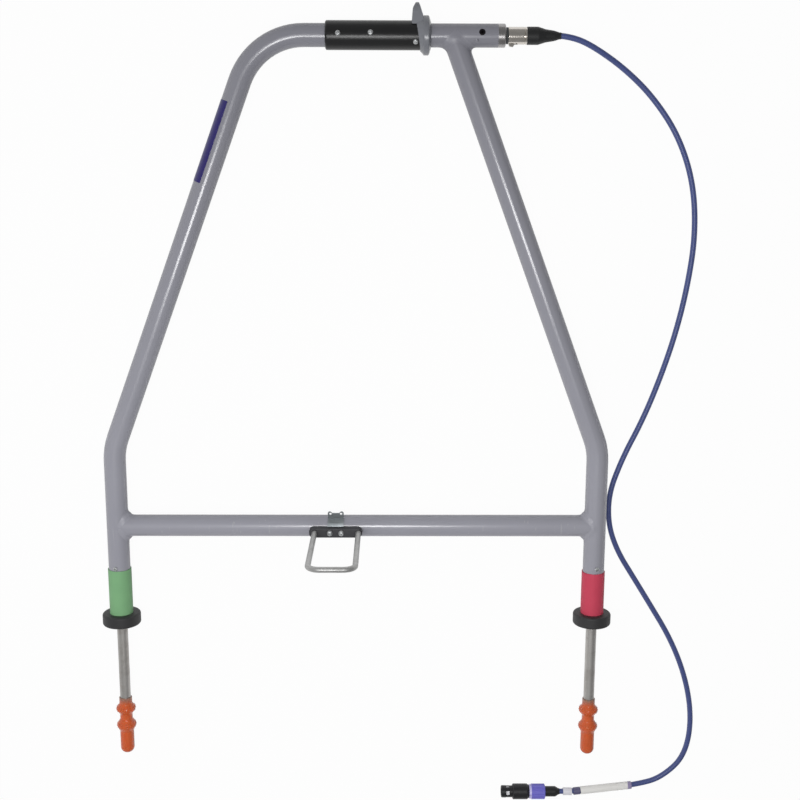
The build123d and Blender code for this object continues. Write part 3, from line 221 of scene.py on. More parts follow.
class Finish(Tree):
    """One material: a Principled shader and the nodes that feed it."""

    def __init__(self, name, **sockets):
        self.material = bpy.data.materials.new(name)
        self.material.use_nodes = True
        super().__init__(self.material.node_tree)
        self.shader = self.tree.nodes["Principled BSDF"]
        self.set(**sockets)

    def set(self, **sockets):
        """Set the shader's sockets: base_color stands for Base Color."""
        for name, value in sockets.items():
            label = name.replace("_", " ").title().replace("Ior", "IOR")
            self.link(value, self.shader.inputs[label])

    def place(self, scale=(1.0, 1.0, 1.0)):
        """Where a point lies on the object, in metres, stretched along each axis."""
        spot = self.node("ShaderNodeTexCoord", out="Object")
        return self.node("ShaderNodeMapping", None, {"Vector": spot, "Scale": scale})

    def along(self, axis):
        """How far a point lies along X, Y or Z, in metres."""
        return self.node("ShaderNodeSeparateXYZ", None, {0: self.place()}, out=axis)

    def between(self, axis, start, end):
        """0 at a start and 1 at an end along X, Y or Z, in metres."""
        return self.ramp((self.along(axis) - start) / (end - start), 0.0, 1.0)

    def noise(self, scale, detail=2.0, stretch=(1.0, 1.0, 1.0), roughness=0.5):
        """Cloudy pattern from 0 to 1, with this many clouds to the metre."""
        inputs = {"Vector": self.place(stretch), "Scale": scale}
        inputs.update({"Detail": detail, "Roughness": roughness})
        return self.node("ShaderNodeTexNoise", None, inputs)

    def bump(self, height, depth):
        """Small relief: height from 0 to 1, depth in metres."""
        inputs = {"Height": height, "Distance": depth, "Strength": 1.0}
        return self.node("ShaderNodeBump", None, inputs, out="Normal")

    def edges(self, radius):
        """1 along the edges of a solid, 0 on its faces."""
        soft = self.node("ShaderNodeBevel", {"samples": EDGE_SAMPLES}, {"Radius": radius})
        flat = self.node("ShaderNodeNewGeometry", None, None, out="Normal")
        product = {"operation": "DOT_PRODUCT"}
        same = self.node("ShaderNodeVectorMath", product, {0: soft, 1: flat}, out="Value")
        return self.ramp(1.0 - same, *EDGE_FADE)


# %% Colours


def screen(red, green, blue):
    """Colour as a screen shows it, 0 to 255, turned by the sRGB rule into a shader's numbers."""
    linear = []
    for level in (red / 255, green / 255, blue / 255):
        linear.append(level / 12.92 if level <= 0.04045 else ((level + 0.055) / 1.055) ** 2.4)
    return (*linear, 1.0)


def darker(color, share):
    """The same colour with only a share of its light."""
    return tuple(level * share for level in color[:3]) + (1.0,)


def dress(finish, *names):
    """Give CAD nodes a finish."""
    for name in names:
        slots = nodes[name].data.materials
        slots.clear()
        slots.append(finish.material)
    print(finish.material.name, "on", ", ".join(names))


# %% [markdown]
# ## Floor and light
#
# The object lies on plain white. The floor is pale and takes the object's shadow. Where the camera or
# a reflection sees it, the Light Path node lifts it towards pure white, so the lift throws no soft
# light on the object. The sky is a room: dark overhead, which keeps the black pieces black, with a
# bright wall on the left, which gives the tubes their lighter side. Two lamps share the work as in a
# studio: a wide one lights the surfaces and stays out of reflections, and a small one shows only in
# reflections, where it draws the thin bright line along the tubes.

# %% Floor
FLOOR_HALF = 30.0
FLOOR_DROP = 0.0004
FLOOR_GREY = (0.62, 0.62, 0.62, 1.0)
FLOOR_LIFT = 0.965
SEEING_RAYS = ("Is Camera Ray", "Is Glossy Ray", "Is Transmission Ray")

corners = ((-1, -1), (1, -1), (1, 1), (-1, 1))
floor_points = [(x * FLOOR_HALF, y * FLOOR_HALF, -FLOOR_DROP) for x, y in corners]
floor_mesh = bpy.data.meshes.new("floor")
floor_mesh.from_pydata(floor_points, [], [(0, 1, 2, 3)])
floor = bpy.data.objects.new("floor", floor_mesh)
scene.collection.objects.link(floor)
paper = Finish("floor_paper", base_color=FLOOR_GREY, roughness=0.9, specular_ior_level=0.0)
straight, mirrored, through = (paper.node("ShaderNodeLightPath", out=ray) for ray in SEEING_RAYS)
seen = straight.most(mirrored).most(through)
glow = paper.node("ShaderNodeEmission")
matt = Value(paper, paper.shader.outputs[0])
lifted = paper.node("ShaderNodeMixShader", None, {"Fac": seen * FLOOR_LIFT, 1: matt, 2: glow})
paper.link(lifted, paper.tree.nodes["Material Output"].inputs["Surface"])
floor_mesh.materials.append(paper.material)
print("floor", 2 * FLOOR_HALF, "m wide")

# %% Lights
SKY_TOP = 0.26
WALL_LEFT = 0.74
WALL_RIGHT = 0.24
WALL_FADE = (0.36, 0.6)  # where the left wall ends and the right one begins, as shares across
TOP_FADE = (0.1, 0.95)  # where the walls end and the top begins, as the rise of a direction
WIDE_LAMP = {
    "place": (-0.2, -0.02, 1.44), "target": (-0.15, -0.02, 0.0), "size": 0.95, "power": 14.8,
}
SMALL_LAMP = {
    "place": (-0.02, -0.015, 1.42), "target": (-0.02, -0.015, 0.0), "size": 0.32, "power": 7.0,
}


def add_light(name, place, target, size, power):
    """Round soft light at a place, turned to a target."""
    data = bpy.data.lights.new(name, "AREA")
    data.shape = "DISK"
    data.size = size
    data.energy = power
    light = bpy.data.objects.new(name, data)
    light.location = place
    aim = Vector(target) - Vector(place)
    light.rotation_euler = aim.to_track_quat("-Z", "Y").to_euler()
    scene.collection.objects.link(light)
    return light


world = bpy.data.worlds.new("studio")
world.use_nodes = True
scene.world = world
sky = Tree(world.node_tree)
direction = sky.node("ShaderNodeTexCoord")
upward = sky.node("ShaderNodeSeparateXYZ", None, {0: direction}, out="Z")
sideways = sky.node("ShaderNodeSeparateXYZ", None, {0: direction}, out="X")
walls = WALL_LEFT + sky.ramp(sideways * 0.5 + 0.5, *WALL_FADE) * (WALL_RIGHT - WALL_LEFT)
strength = walls + sky.ramp(upward, *TOP_FADE) * (SKY_TOP - walls)
backdrop = world.node_tree.nodes["Background"]
sky.link(strength, backdrop.inputs["Strength"])
backdrop.inputs["Color"].default_value = (1.0, 1.0, 1.0, 1.0)
wide_lamp = add_light("wide_lamp", **WIDE_LAMP)
wide_lamp.visible_glossy = False
small_lamp = add_light("small_lamp", **SMALL_LAMP)
small_lamp.visible_diffuse = False
scene.view_settings.view_transform = "Standard"
print("lights", [item.name for item in bpy.data.lights])

# %% [markdown]
# ## Frame paint
#
# The tubes have a smooth grey coat, slightly violet, under a gloss that draws a bright line along
# them. The clear coat of the Principled shader makes that line without making the grey itself shiny.
# Over the welds the coat is rougher, so its gloss is duller there. The lower legs get scuffed against
# stones and kerbs, so long thin scratches there let a lighter grey show. The grey is also painted a
# little darker towards the handlebar: painted shade for the light that falls off there.

# %% Frame paint
TUBE_GLOSS = {"coat_weight": 0.9, "coat_roughness": 0.21}
WELD_GLOSS = {"coat_weight": 0.6, "coat_roughness": 0.34}
TUBE_RIPPLE = 0.000006
WELD_RIPPLE = 0.000008
PAINT_TONES = (screen(145, 145, 154), screen(156, 156, 165))
SPECK_GREY = screen(122, 122, 128)
WORN_GREY = screen(182, 182, 184)
# Painted shade: the darker grey the frame is painted towards the handlebar, where less light falls.
PAINTED_SHADE_GREY = screen(126, 126, 134)
WORN_Y = (-0.04, -0.22)  # where scuffs begin on the legs, and where they are full
PAINTED_SHADE_Y = (-0.1, 0.42)  # where the darkening begins, and where it is full


def frame_paint(name, gloss, ripple, weld=False):
    """Sprayed grey coat: its clear gloss, and the depth of its relief in metres."""
    coat = Finish(name, specular_ior_level=0.0, **gloss)
    tone = coat.noise(9.0, 3.0)
    speck = coat.ramp(coat.noise(1400.0, 1.0), 0.68, 0.74)
    scratch = coat.ramp(coat.noise(260.0, 3.0, (1.0, 0.06, 1.0)), 0.66, 0.72)
    wear = scratch * coat.between("Y", *WORN_Y) * 0.5
    grey = coat.mix(tone, *PAINT_TONES)
    grey = coat.mix(speck * 0.2, grey, SPECK_GREY)
    grey = coat.mix(wear, grey, WORN_GREY)
    # Painted shade: the grey darkens towards the handlebar in place of the light that falls off there.
    grey = coat.mix(coat.between("Y", *PAINTED_SHADE_Y) * 0.85, grey, PAINTED_SHADE_GREY)
    peel = coat.noise(420.0, 2.0)
    if weld:
        peel = peel * 0.4 + coat.noise(900.0, 1.0) * 0.6
    roughness = 0.5 + tone * 0.08 + wear * 0.2
    coat.set(base_color=grey, roughness=roughness, normal=coat.bump(peel, ripple))
    return coat


tube_paint = frame_paint("grey_frame_paint", TUBE_GLOSS, TUBE_RIPPLE)
weld_paint = frame_paint("grey_weld_paint", WELD_GLOSS, WELD_RIPPLE, weld=True)
dress(tube_paint, "main_tube", "right_leg_tube", "cross_tube", "ferrule_rivet")
dress(weld_paint, "handle_weld", "left_cross_weld", "right_cross_weld")

# %% [markdown]
# ## Moulded plastics and rubbers
#
# Most small pieces are moulded. They differ in colour, gloss and grain, so one function makes them
# all: a slow drift of tone, a fine grain as relief, and edges that are rubbed a little paler.

# %% Moulded pieces


def moulded(name, color, rubbed, roughness, grain=900.0, depth=0.00003, edge=0.0005, **sockets):
    """Moulded piece: main colour, the colour of its rubbed edges, gloss and grain."""
    skin = Finish(name, **sockets)
    tone = skin.noise(45.0, 3.0)
    grains = skin.noise(grain, 3.0, roughness=0.6)
    body = skin.mix(tone, darker(color, 0.84), color)
    body = skin.mix(skin.edges(edge) * (0.2 + 0.35 * grains), body, rubbed)
    gloss = roughness + 0.12 * (grains - 0.5)
    skin.set(base_color=body, roughness=gloss, normal=skin.bump(grains, depth))
    return skin


dress(
    moulded("grip_rubber", screen(32, 32, 33), screen(58, 58, 62), 0.3, specular_ior_level=0.3),
    "grip_sleeve",
)
dress(moulded("guard_plastic", screen(122, 124, 130), screen(150, 152, 156), 0.24), "hand_guard")
dress(
    moulded("stop_plastic", screen(47, 47, 48), screen(76, 74, 72), 0.58, 1300.0, 0.00006),
    "foot_insulator_left", "foot_insulator_right",
)
dress(moulded("block_plastic", screen(50, 50, 54), screen(78, 77, 80), 0.5), "holder_block")
dress(
    moulded("black_plastic", screen(34, 34, 37), screen(60, 60, 64), 0.42, specular_ior_level=0.35),
    "far_nose", "far_collar", "socket_insert", "plug_insert",
)
dress(
    moulded("boot_rubber", screen(34, 35, 36), screen(56, 56, 58), 0.5, specular_ior_level=0.35),
    "plug_boot", "far_boot",
)
# The plug gasket is dark rubber. The catch liner is a dark pad under the strap's window, put there as
# painted shade for the shadow seen through it.
dress(
    moulded("liner_rubber", screen(60, 64, 66), screen(78, 80, 82), 0.6),
    "catch_liner", "plug_gasket",
)
dress(moulded("white_carrier", screen(228, 228, 232), screen(240, 240, 240), 0.45), "far_insert")
dress(moulded("white_marker", screen(230, 229, 236), screen(240, 240, 240), 0.42), "marker_band")
dress(moulded("blue_shrink", screen(96, 94, 126), screen(122, 120, 150), 0.4), "shrink_sleeve")
jacket_blue = screen(70, 82, 136)
jacket = moulded("cable_jacket", jacket_blue, jacket_blue, 0.42, 700.0, 0.00003)
cable_data.materials.append(jacket.material)
dress(jacket, "cable")

# %% [markdown]
# ## Two-tone pieces
#
# Some pieces change colour along their length. The clamp nut's toothed lip is painted pale, as a painted
# highlight on its teeth, and the clear label sleeve has white paper inside it except at its end, where
# the cable shows through. A ramp on the distance along X, from Object coordinates, sets where one tone
# ends.

# %% Clamp nut and label sleeve
# Painted highlight: the nut's pale first tone, up to its lip's end, stands for light caught by its
# teeth.
NUT_HIGHLIGHT_LIP = 0.0026
LABEL_CLEAR_END = 0.0052
NUT_HIGHLIGHT_TONES = (screen(196, 192, 232), screen(112, 108, 202))
LABEL_TONES = (screen(236, 235, 232), screen(150, 141, 176))


def two_tone(name, first, second, border, soft, roughness):
    """Moulded piece with one colour up to a border along X and another beyond it."""
    skin = Finish(name, roughness=roughness)
    grains = skin.noise(900.0, 3.0)
    tone = skin.noise(60.0, 2.0)
    share = skin.between("X", border - soft / 2, border + soft / 2)
    body = skin.mix(share, first, second)
    dark = skin.mix(share, darker(first, 0.8), darker(second, 0.8))
    body = skin.mix(tone * 0.25, body, dark)
    skin.set(base_color=body, normal=skin.bump(grains, 0.00002))
    return skin


# The nut's pale lip is a painted highlight on its teeth.
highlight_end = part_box("far_clamp_nut")[0][0] + NUT_HIGHLIGHT_LIP
dress(two_tone("clamp_nut_plastic", *NUT_HIGHLIGHT_TONES, highlight_end, 0.0006, 0.36), "far_clamp_nut")
paper_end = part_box("cable_label")[1][0] - LABEL_CLEAR_END
dress(two_tone("clear_label_sleeve", *LABEL_TONES, paper_end, 0.0008, 0.22), "cable_label")

# %% [markdown]
# ## Coloured vinyl
#
# The two sleeves on the legs and the covers on the spikes are vinyl. The sleeves are matt and even.
# The covers are soft and see-through where they are thin: at the mouth the grey spike shows through,
# so the colour goes from greyish to orange over the first few millimetres.

# %% Coloured vinyl
COVER_TONES = (screen(192, 86, 42), screen(210, 95, 49))
COVER_LIP = screen(150, 112, 96)
COVER_FADE = (0.0008, 0.008)  # depths behind the mouth: the lip's tone ends, the orange is full
COVER_GLOW = (1.0, 0.35, 0.15)  # how far red, green and blue light spread under the skin


def vinyl(name, color, deep, roughness):
    """Shrunk sleeve: an even colour with a faint drift and a soft sheen."""
    skin = Finish(name, roughness=roughness, specular_ior_level=0.2)
    tone = skin.noise(60.0, 2.0)
    grains = skin.noise(1100.0, 2.0)
    skin.set(base_color=skin.mix(tone, deep, color), normal=skin.bump(grains, 0.00003))
    return skin


def cover_vinyl(name, mouth):
    """Soft orange cover whose lip at the mouth lets the spike show through."""
    skin = Finish(name, roughness=0.22, subsurface_weight=0.2, subsurface_scale=0.003)
    skin.set(subsurface_radius=COVER_GLOW)
    tone = skin.noise(70.0, 3.0)
    lumps = skin.noise(300.0, 2.0)
    inward = skin.between("Y", *(mouth - depth for depth in COVER_FADE))
    body = skin.mix(inward, COVER_LIP, skin.mix(tone, *COVER_TONES))
    skin.set(base_color=body, normal=skin.bump(lumps, 0.0001))
    return skin


dress(vinyl("green_vinyl", screen(127, 175, 127), screen(119, 165, 121), 0.5), "colour_sleeve_left")
dress(vinyl("red_vinyl", screen(202, 72, 94), screen(190, 67, 88), 0.5), "colour_sleeve_right")
dress(vinyl("green_wire", screen(40, 120, 60), screen(34, 104, 52), 0.4), "lead_wire_left")
dress(vinyl("red_wire", screen(170, 40, 45), screen(150, 36, 40), 0.4), "lead_wire_right")
covers = {}
for side in ("left", "right"):
    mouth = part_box(f"tip_cover_{side}")[1][1]
    covers[side] = cover_vinyl(f"orange_vinyl_{side}", mouth)
    dress(covers[side], f"tip_cover_{side}")

# %% [markdown]
# ## Metals
#
# Turned parts carry fine rings from the tool, which stretch the highlight across them. Noise squeezed
# along the turning axis gives those rings. Plated parts are brighter and cleaner, and the spikes are
# dull from the ground. The strap and the loop are rolled and drawn, not turned, but fine lines across
# them look the same, so they share the function.

# %% Metals
ALONG_X, ALONG_Y, ALONG_Z = range(3)


def turned(name, color, worn, roughness, axis, rings=700.0, depth=0.000005, stains=0.6):
    """Turned metal: its colour, its stains, its gloss and the axis that it was turned on."""
    metal = Finish(name, metallic=1.0)
    stretch = tuple(1.0 if i == axis else 0.01 for i in range(3))
    tool = metal.noise(rings, 2.0, stretch)
    stain = metal.ramp(metal.noise(70.0, 4.0, roughness=0.65), 0.45, 0.7) * stains
    metal.set(
        base_color=metal.mix(stain, color, worn),
        roughness=roughness + 0.14 * (tool - 0.5) + 0.1 * stain,
        normal=metal.bump(tool, depth),
    )
    return metal


dress(
    turned("spike_steel", screen(194, 192, 189), screen(170, 165, 160), 0.58, ALONG_Y),
    "spike_left", "spike_right",
)
dress(
    turned(
        "ferrule_metal", screen(164, 162, 162), screen(138, 136, 136), 0.28, ALONG_X, depth=0.000001
    ),
    "end_ferrule",
)
dress(
    turned(
        "nickel_plate", screen(212, 207, 200), screen(186, 180, 172), 0.17, ALONG_X, depth=0.0000004
    ),
    "plug_shell", "latch_lever", "latch_pin",
)
dress(
    turned("zinc_plate", screen(182, 186, 187), screen(150, 156, 158), 0.36, ALONG_Z),
    "spike_nuts",
)
dress(
    turned("dull_strap_zinc", screen(164, 170, 173), screen(138, 145, 148), 0.5, ALONG_Z),
    "catch_strap",
)
dress(
    turned("dull_zinc_rod", screen(188, 188, 187), screen(164, 165, 163), 0.52, ALONG_Z),
    "receiver_loop",
)
dress(turned("black_oxide", screen(40, 38, 42), screen(56, 52, 54), 0.5, ALONG_Z), "grub_screw")
dress(
    turned("contact_brass", screen(206, 172, 104), screen(170, 138, 80), 0.25, ALONG_X),
    "socket_pins", "plug_contacts", "far_pins", "lead_terminals",
)

# %% [markdown]
# ## Tools for repeated pieces
#
# Screws, rivets and the pips on the covers repeat, so one small mesh is made of each and Geometry Nodes
# sets copies of it on points. Every point carries the direction that its copy faces. A recipe is a
# node group with named inputs; `make` runs it once and keeps the plain mesh.

# %% Recipe tools


class Recipe(Tree):
    """A Geometry Nodes group: named inputs, then nodes, then one shape out."""

    def __init__(self, name, **inputs):
        super().__init__(bpy.data.node_groups.new(name, "GeometryNodeTree"))
        new_socket = self.tree.interface.new_socket
        new_socket("Shape", in_out="OUTPUT", socket_type="NodeSocketGeometry")
        new_socket("Start", in_out="INPUT", socket_type="NodeSocketGeometry")
        self.names = {}
        for label, kind in inputs.items():
            socket = new_socket(label, in_out="INPUT", socket_type=f"NodeSocket{kind}")
            self.names[label] = socket.identifier
        self.source = self.tree.nodes.new("NodeGroupInput")
        self.result = self.tree.nodes.new("NodeGroupOutput")

    def given(self, label):
        """The value of a named input."""
        return Value(self, self.source.outputs[label])

    def end(self, shape):
        """Realize copies, give the finish, and send the shape out."""
        real = self.node("GeometryNodeRealizeInstances", None, {0: shape})
        inputs = {"Geometry": real, "Material": self.given("Finish")}
        self.link(self.node("GeometryNodeSetMaterial", None, inputs), self.result.inputs[0])

    def make(self, name, start, **inputs):
        """Run the recipe on a start mesh and return a plain mesh object."""
        holder = bpy.data.objects.new(f"{name}_start", start)
        scene.collection.objects.link(holder)
        modifier = holder.modifiers.new("recipe", "NODES")
        modifier.node_group = self.tree
        for label, value in inputs.items():
            modifier[self.names[label]] = value
        grown = holder.evaluated_get(bpy.context.evaluated_depsgraph_get())
        mesh = bpy.data.meshes.new_from_object(grown)
        bpy.data.objects.remove(holder)
        piece = bpy.data.objects.new(name, mesh)
        scene.collection.objects.link(piece)
        print(name, len(mesh.polygons), "faces")
        return piece


def copies_recipe():
    """Copies of one mesh on points that carry the direction they face."""
    recipe = Recipe("copies_on_points", Copy="Object", Finish="Material", Size="Float")
    vector = {"data_type": "FLOAT_VECTOR"}
    facing = recipe.node("GeometryNodeInputNamedAttribute", vector, {"Name": "facing"})
    turn = recipe.node("FunctionNodeAlignRotationToVector", {"axis": "Z"}, {"Vector": facing})
    copied = {"Object": recipe.given("Copy")}
    shape = recipe.node("GeometryNodeObjectInfo", None, copied, out="Geometry")
    inputs = {"Points": recipe.given("Start"), "Instance": shape}
    inputs.update({"Rotation": turn, "Scale": recipe.given("Size")})
    recipe.end(recipe.node("GeometryNodeInstanceOnPoints", None, inputs))
    return recipe


def seats_mesh(name, seats):
    """Points to set copies on, each with the direction that its copy faces."""
    mesh = bpy.data.meshes.new(name)
    mesh.from_pydata([place for place, facing in seats], [], [])
    facings = mesh.attributes.new("facing", "FLOAT_VECTOR", "POINT")
    facings.data.foreach_set("vector", [part for place, facing in seats for part in facing])
    return mesh


copies = copies_recipe()
print("recipe", copies.tree.name, "takes", list(copies.names))

# %% [markdown]
# ## Rivets and screws
#
# Three blind rivets hold the grip, a cross-head screw holds each stop in its leg, and two slotted screws
# hold the receiver holder. The CAD has plain domed heads. Here each head is a height over a round grid:
# a dome, less the recess that the driver fits. The heads sit where the CAD's heads are.

# %% Head shapes
HEAD_SKIRT = 0.0004
HEAD_CREASE = math.radians(50)
DIMPLE_DEPTH = 0.0007
DIMPLE_EDGE = (0.0007, 0.0011)  # from the middle: where the floor ends, and where the head begins
ARM_DEPTH = 0.0011
ARM_SIDE = (0.00035, 0.0006)
ARM_END = (0.0006, 0.0017)
SLOT_DEPTH = 0.0012
SLOT_SIDE = (0.0005, 0.00075)


def ease(value, start, end):
    """0 at start and 1 at end, with a soft turn at both."""
    share = min(max((value - start) / (end - start), 0.0), 1.0)
    return share * share * (3.0 - 2.0 * share)


def head_object(name, radius, height, recess=None, rings=18, spokes=64):
    """Domed head on a short skirt, closed below; recess gives the depth cut at a point."""
    points = []
    for ring in range(rings + 1):
        reach = radius * ring / rings
        dome = height * (1.0 - (ring / rings) ** 3) ** 0.5
        for spoke in range(spokes if ring else 1):
            turn = 2 * math.pi * spoke / spokes
            x, y = reach * math.cos(turn), reach * math.sin(turn)
            cut = min(recess(x, y), dome) if recess else 0.0
            points.append((x, y, dome - cut))
    rim = len(points) - spokes
    points += [(x, y, -HEAD_SKIRT) for x, y, z in points[rim:]]
    faces = [(0, 1 + spoke, 1 + (spoke + 1) % spokes) for spoke in range(spokes)]
    for ring in range(rings):
        low = 1 + ring * spokes
        for spoke in range(spokes):
            after = (spoke + 1) % spokes
            faces.append((low + spoke, low + spokes + spoke, low + spokes + after, low + after))
    faces.append(tuple(reversed(range(len(points) - spokes, len(points)))))
    mesh = bpy.data.meshes.new(name)
    mesh.from_pydata(points, [], faces)
    mesh.shade_smooth()
    mesh.set_sharp_from_angle(angle=HEAD_CREASE)
    return bpy.data.objects.new(name, mesh)


def dimple(x, y):
    """Sunk middle of a blind rivet."""
    return DIMPLE_DEPTH * (1.0 - ease(math.hypot(x, y), *DIMPLE_EDGE))


def cross(x, y):
    """Cross recess that gets shallower towards the ends of its arms."""
    arm = max(
        (1.0 - ease(abs(y), *ARM_SIDE)) * (1.0 - ease(abs(x), *ARM_END)),
        (1.0 - ease(abs(x), *ARM_SIDE)) * (1.0 - ease(abs(y), *ARM_END)),
    )
    return ARM_DEPTH * arm


def slot(x, y):
    """Straight slot right across the head."""
    return SLOT_DEPTH * (1.0 - ease(abs(y), *SLOT_SIDE))


heads = {
    "rivet": head_object("rivet", 0.0029, 0.0015, dimple),
    "cross_screw": head_object("cross_screw", 0.0027, 0.0019, cross),
    "slotted_screw": head_object("slotted_screw", 0.0034, 0.0024, slot),
}
print("heads", {name: len(head.data.polygons) for name, head in heads.items()})

# %% Heads in their seats
HANDLE_Y = 0.4078
TUBE_Z = 0.0225
LEG_X = 0.2825
GRIP_SEAT = 0.0155  # from the tube's axis to the rivets' seat
RIVETS = ((-0.0177, 3.0), (0.0176, 6.0), (0.0666, -30.0))  # X, and degrees from the top
LEG_SEAT = 0.01245
LEG_SCREW_Y = -0.2004
LEG_SCREW_TURN = math.radians(10.0)
HOLDER_SCREW_Y = -0.15305
HOLDER_TOP = 0.044

rivet_seats = []
for x, turn in RIVETS:
    facing = Vector((0.0, math.sin(math.radians(turn)), math.cos(math.radians(turn))))
    rivet_seats.append((Vector((x, HANDLE_Y, TUBE_Z)) + facing * GRIP_SEAT, facing))
leg_seats = []
for side in (-1, 1):
    facing = Vector((side * math.sin(LEG_SCREW_TURN), 0.0, math.cos(LEG_SCREW_TURN)))
    leg_seats.append((Vector((side * LEG_X, LEG_SCREW_Y, TUBE_Z)) + facing * LEG_SEAT, facing))
holder_seats = []
for x in (-0.0308, -0.0176):
    holder_seats.append((Vector((x, HOLDER_SCREW_Y, HOLDER_TOP)), Vector((0, 0, 1))))

bright_zinc = turned("bright_zinc", screen(204, 206, 207), screen(176, 180, 181), 0.46, ALONG_Z)
for name, cad_node, seats, head in (
    ("dimpled_rivets", "grip_rivets", rivet_seats, heads["rivet"]),
    ("cross_screws", "leg_screws", leg_seats, heads["cross_screw"]),
    ("slotted_screws", "holder_screws", holder_seats, heads["slotted_screw"]),
):
    points = seats_mesh(name, seats)
    fixings = copies.make(name, points, Copy=head, Finish=bright_zinc.material, Size=1.0)
    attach(fixings, "frame")
    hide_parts(cad_node)
    dress(bright_zinc, cad_node)

# %% [markdown]
# ## Pips on the tip covers
#
# The two swellings of each cover catch the light in many small points: they are moulded with rows of
# pips, so that cold fingers can pull the cover off. Rows round a bead are circles, and every second row
# is turned by half a step. There is one mesh for each cover, because each cover moves by itself.

# %% Cover pips
PIP_R = 0.00085
PIPS_ROUND = 20
PIP_ROWS = (  # distance from the mouth, and from the cover's axis
    (0.0124, 0.0104),
    (0.0146, 0.0110),
    (0.0168, 0.0104),
    (0.0337, 0.0104),
    (0.0359, 0.0110),
    (0.0381, 0.0104),
)

pip = head_object("pip", PIP_R, PIP_R, rings=3, spokes=8)
for side in ("left", "right"):
    low, high = (Vector(corner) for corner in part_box(f"tip_cover_{side}"))
    middle = (low + high) / 2
    pip_seats = []
    for row, (down, reach) in enumerate(PIP_ROWS):
        for step in range(PIPS_ROUND):
            turn = 2 * math.pi * (step + 0.5 * (row % 2)) / PIPS_ROUND
            facing = Vector((math.cos(turn), 0.0, math.sin(turn)))
            pip_seats.append((Vector((middle.x, high.y - down, middle.z)) + facing * reach, facing))
    name = f"cover_pips_{side}"
    points = seats_mesh(name, pip_seats)
    pips = copies.make(name, points, Copy=pip, Finish=covers[side].material, Size=1.0)
    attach(pips, f"{side}_cover")

# %% [markdown]
# ## Welds
#
# Each joint of the tubes is welded all round, and paint runs over the weld, so one tube flows into the
# other. A bead swept along the seam would leave a crease on both sides. Here each tube is a distance:
# how far a point lies outside it. Where the two distances are nearly equal they are melted into one,
# and a strip of points round the seam is pushed onto that melted skin. The strip meets both tubes
# without a crease, and a wave along the seam leaves the ripples of a welder's hand.

# %% Melted skin
TUBE_R = 0.0127
PUSHES = 8  # steps that bring a point onto the skin
HALVINGS = 16  # steps that find the seam
WALK_STEP = 0.0005
WALK_LIMIT = 48


class Weld:
    """Two tubes melted together: one runs through, the other ends on it."""

    def __init__(self, centre, through, branch, setback, crown, corner, bead):
        self.centre, self.through, self.branch = Vector(centre), Vector(through), Vector(branch)
        self.setback, self.end = setback, self.centre + self.branch * setback
        self.crown, self.corner, self.bead = crown, corner, bead
        self.side = Vector((-self.branch.y, self.branch.x, 0.0))
        self.front = (self.branch - self.through * self.branch.dot(self.through)).normalized()

    def gaps(self, place):
        """How far a point lies outside each tube, with the directions that lead away from them."""
        off_through = place - self.centre
        off_through = off_through - self.through * off_through.dot(self.through)
        off_branch = place - self.end
        off_branch = off_branch - self.branch * max(off_branch.dot(self.branch), 0.0)
        return off_through.length - TUBE_R, off_branch.length - TUBE_R, off_through, off_branch

    def melt(self, place):
        """Size of the melted corner: small on top of the joint, larger at its sides."""
        rise = min(abs(place.z - self.centre.z) / TUBE_R, 1.0)
        return self.corner + (self.crown - self.corner) * rise * rise

    def skin(self, place, height=0.0):
        """Push a point onto the melted skin, or to a height above it."""
        for _ in range(PUSHES):
            one, two, off_one, off_two = self.gaps(place)
            melt = self.melt(place)
            share = max(melt - abs(one - two), 0.0) / melt
            near, far = (off_one, off_two) if one < two else (off_two, off_one)
            slope = near.normalized() * (1.0 - share / 2) + far.normalized() * (share / 2)
            gap = min(one, two) - share * share * melt / 4 - height
            place = place - slope * (gap / slope.length_squared)
        return place

    def seam(self, turn):
        """Point that lies equally far from both tubes, at an angle round the branch."""
        across, up = math.sin(turn), math.cos(turn)
        lean = abs(across) - across * self.side.dot(self.front)
        down = TUBE_R * lean / self.branch.dot(self.front)
        rim = self.side * (TUBE_R * across) + Vector((0.0, 0.0, TUBE_R * up))
        place = self.centre + self.branch * down + rim
        low, high = 0.0, self.setback
        for _ in range(HALVINGS):
            half = (low + high) / 2
            one, two = self.gaps(place + self.branch * half)[:2]
            low, high = (half, high) if one < two else (low, half)
        return place + self.branch * low

    def walk(self, place, way, steps):
        """Walk over the skin to where the tubes are no longer melted, in even steps."""
        path = [place]
        while len(path) < WALK_LIMIT:
            one, two = self.gaps(path[-1])[:2]
            if abs(one - two) > self.melt(path[-1]):
                break
            path.append(self.skin(path[-1] + way * WALK_STEP))
        last = len(path) - 1
        return [path[round(last * step / steps)] for step in range(1, steps + 1)]


# %% Weld strips
WELD_ROUND = 264
WELD_ACROSS = 14
WELD_SINK = 0.0001
WELD_ROOT = 0.0012
BEAD_HALF = 0.0036
FAN_SPREAD = 0.2  # how soon the strip turns from along the branch to along the through tube
RIPPLES = 17
RIPPLE_DEPTH = 0.3
WELD_CREASE = math.radians(40)


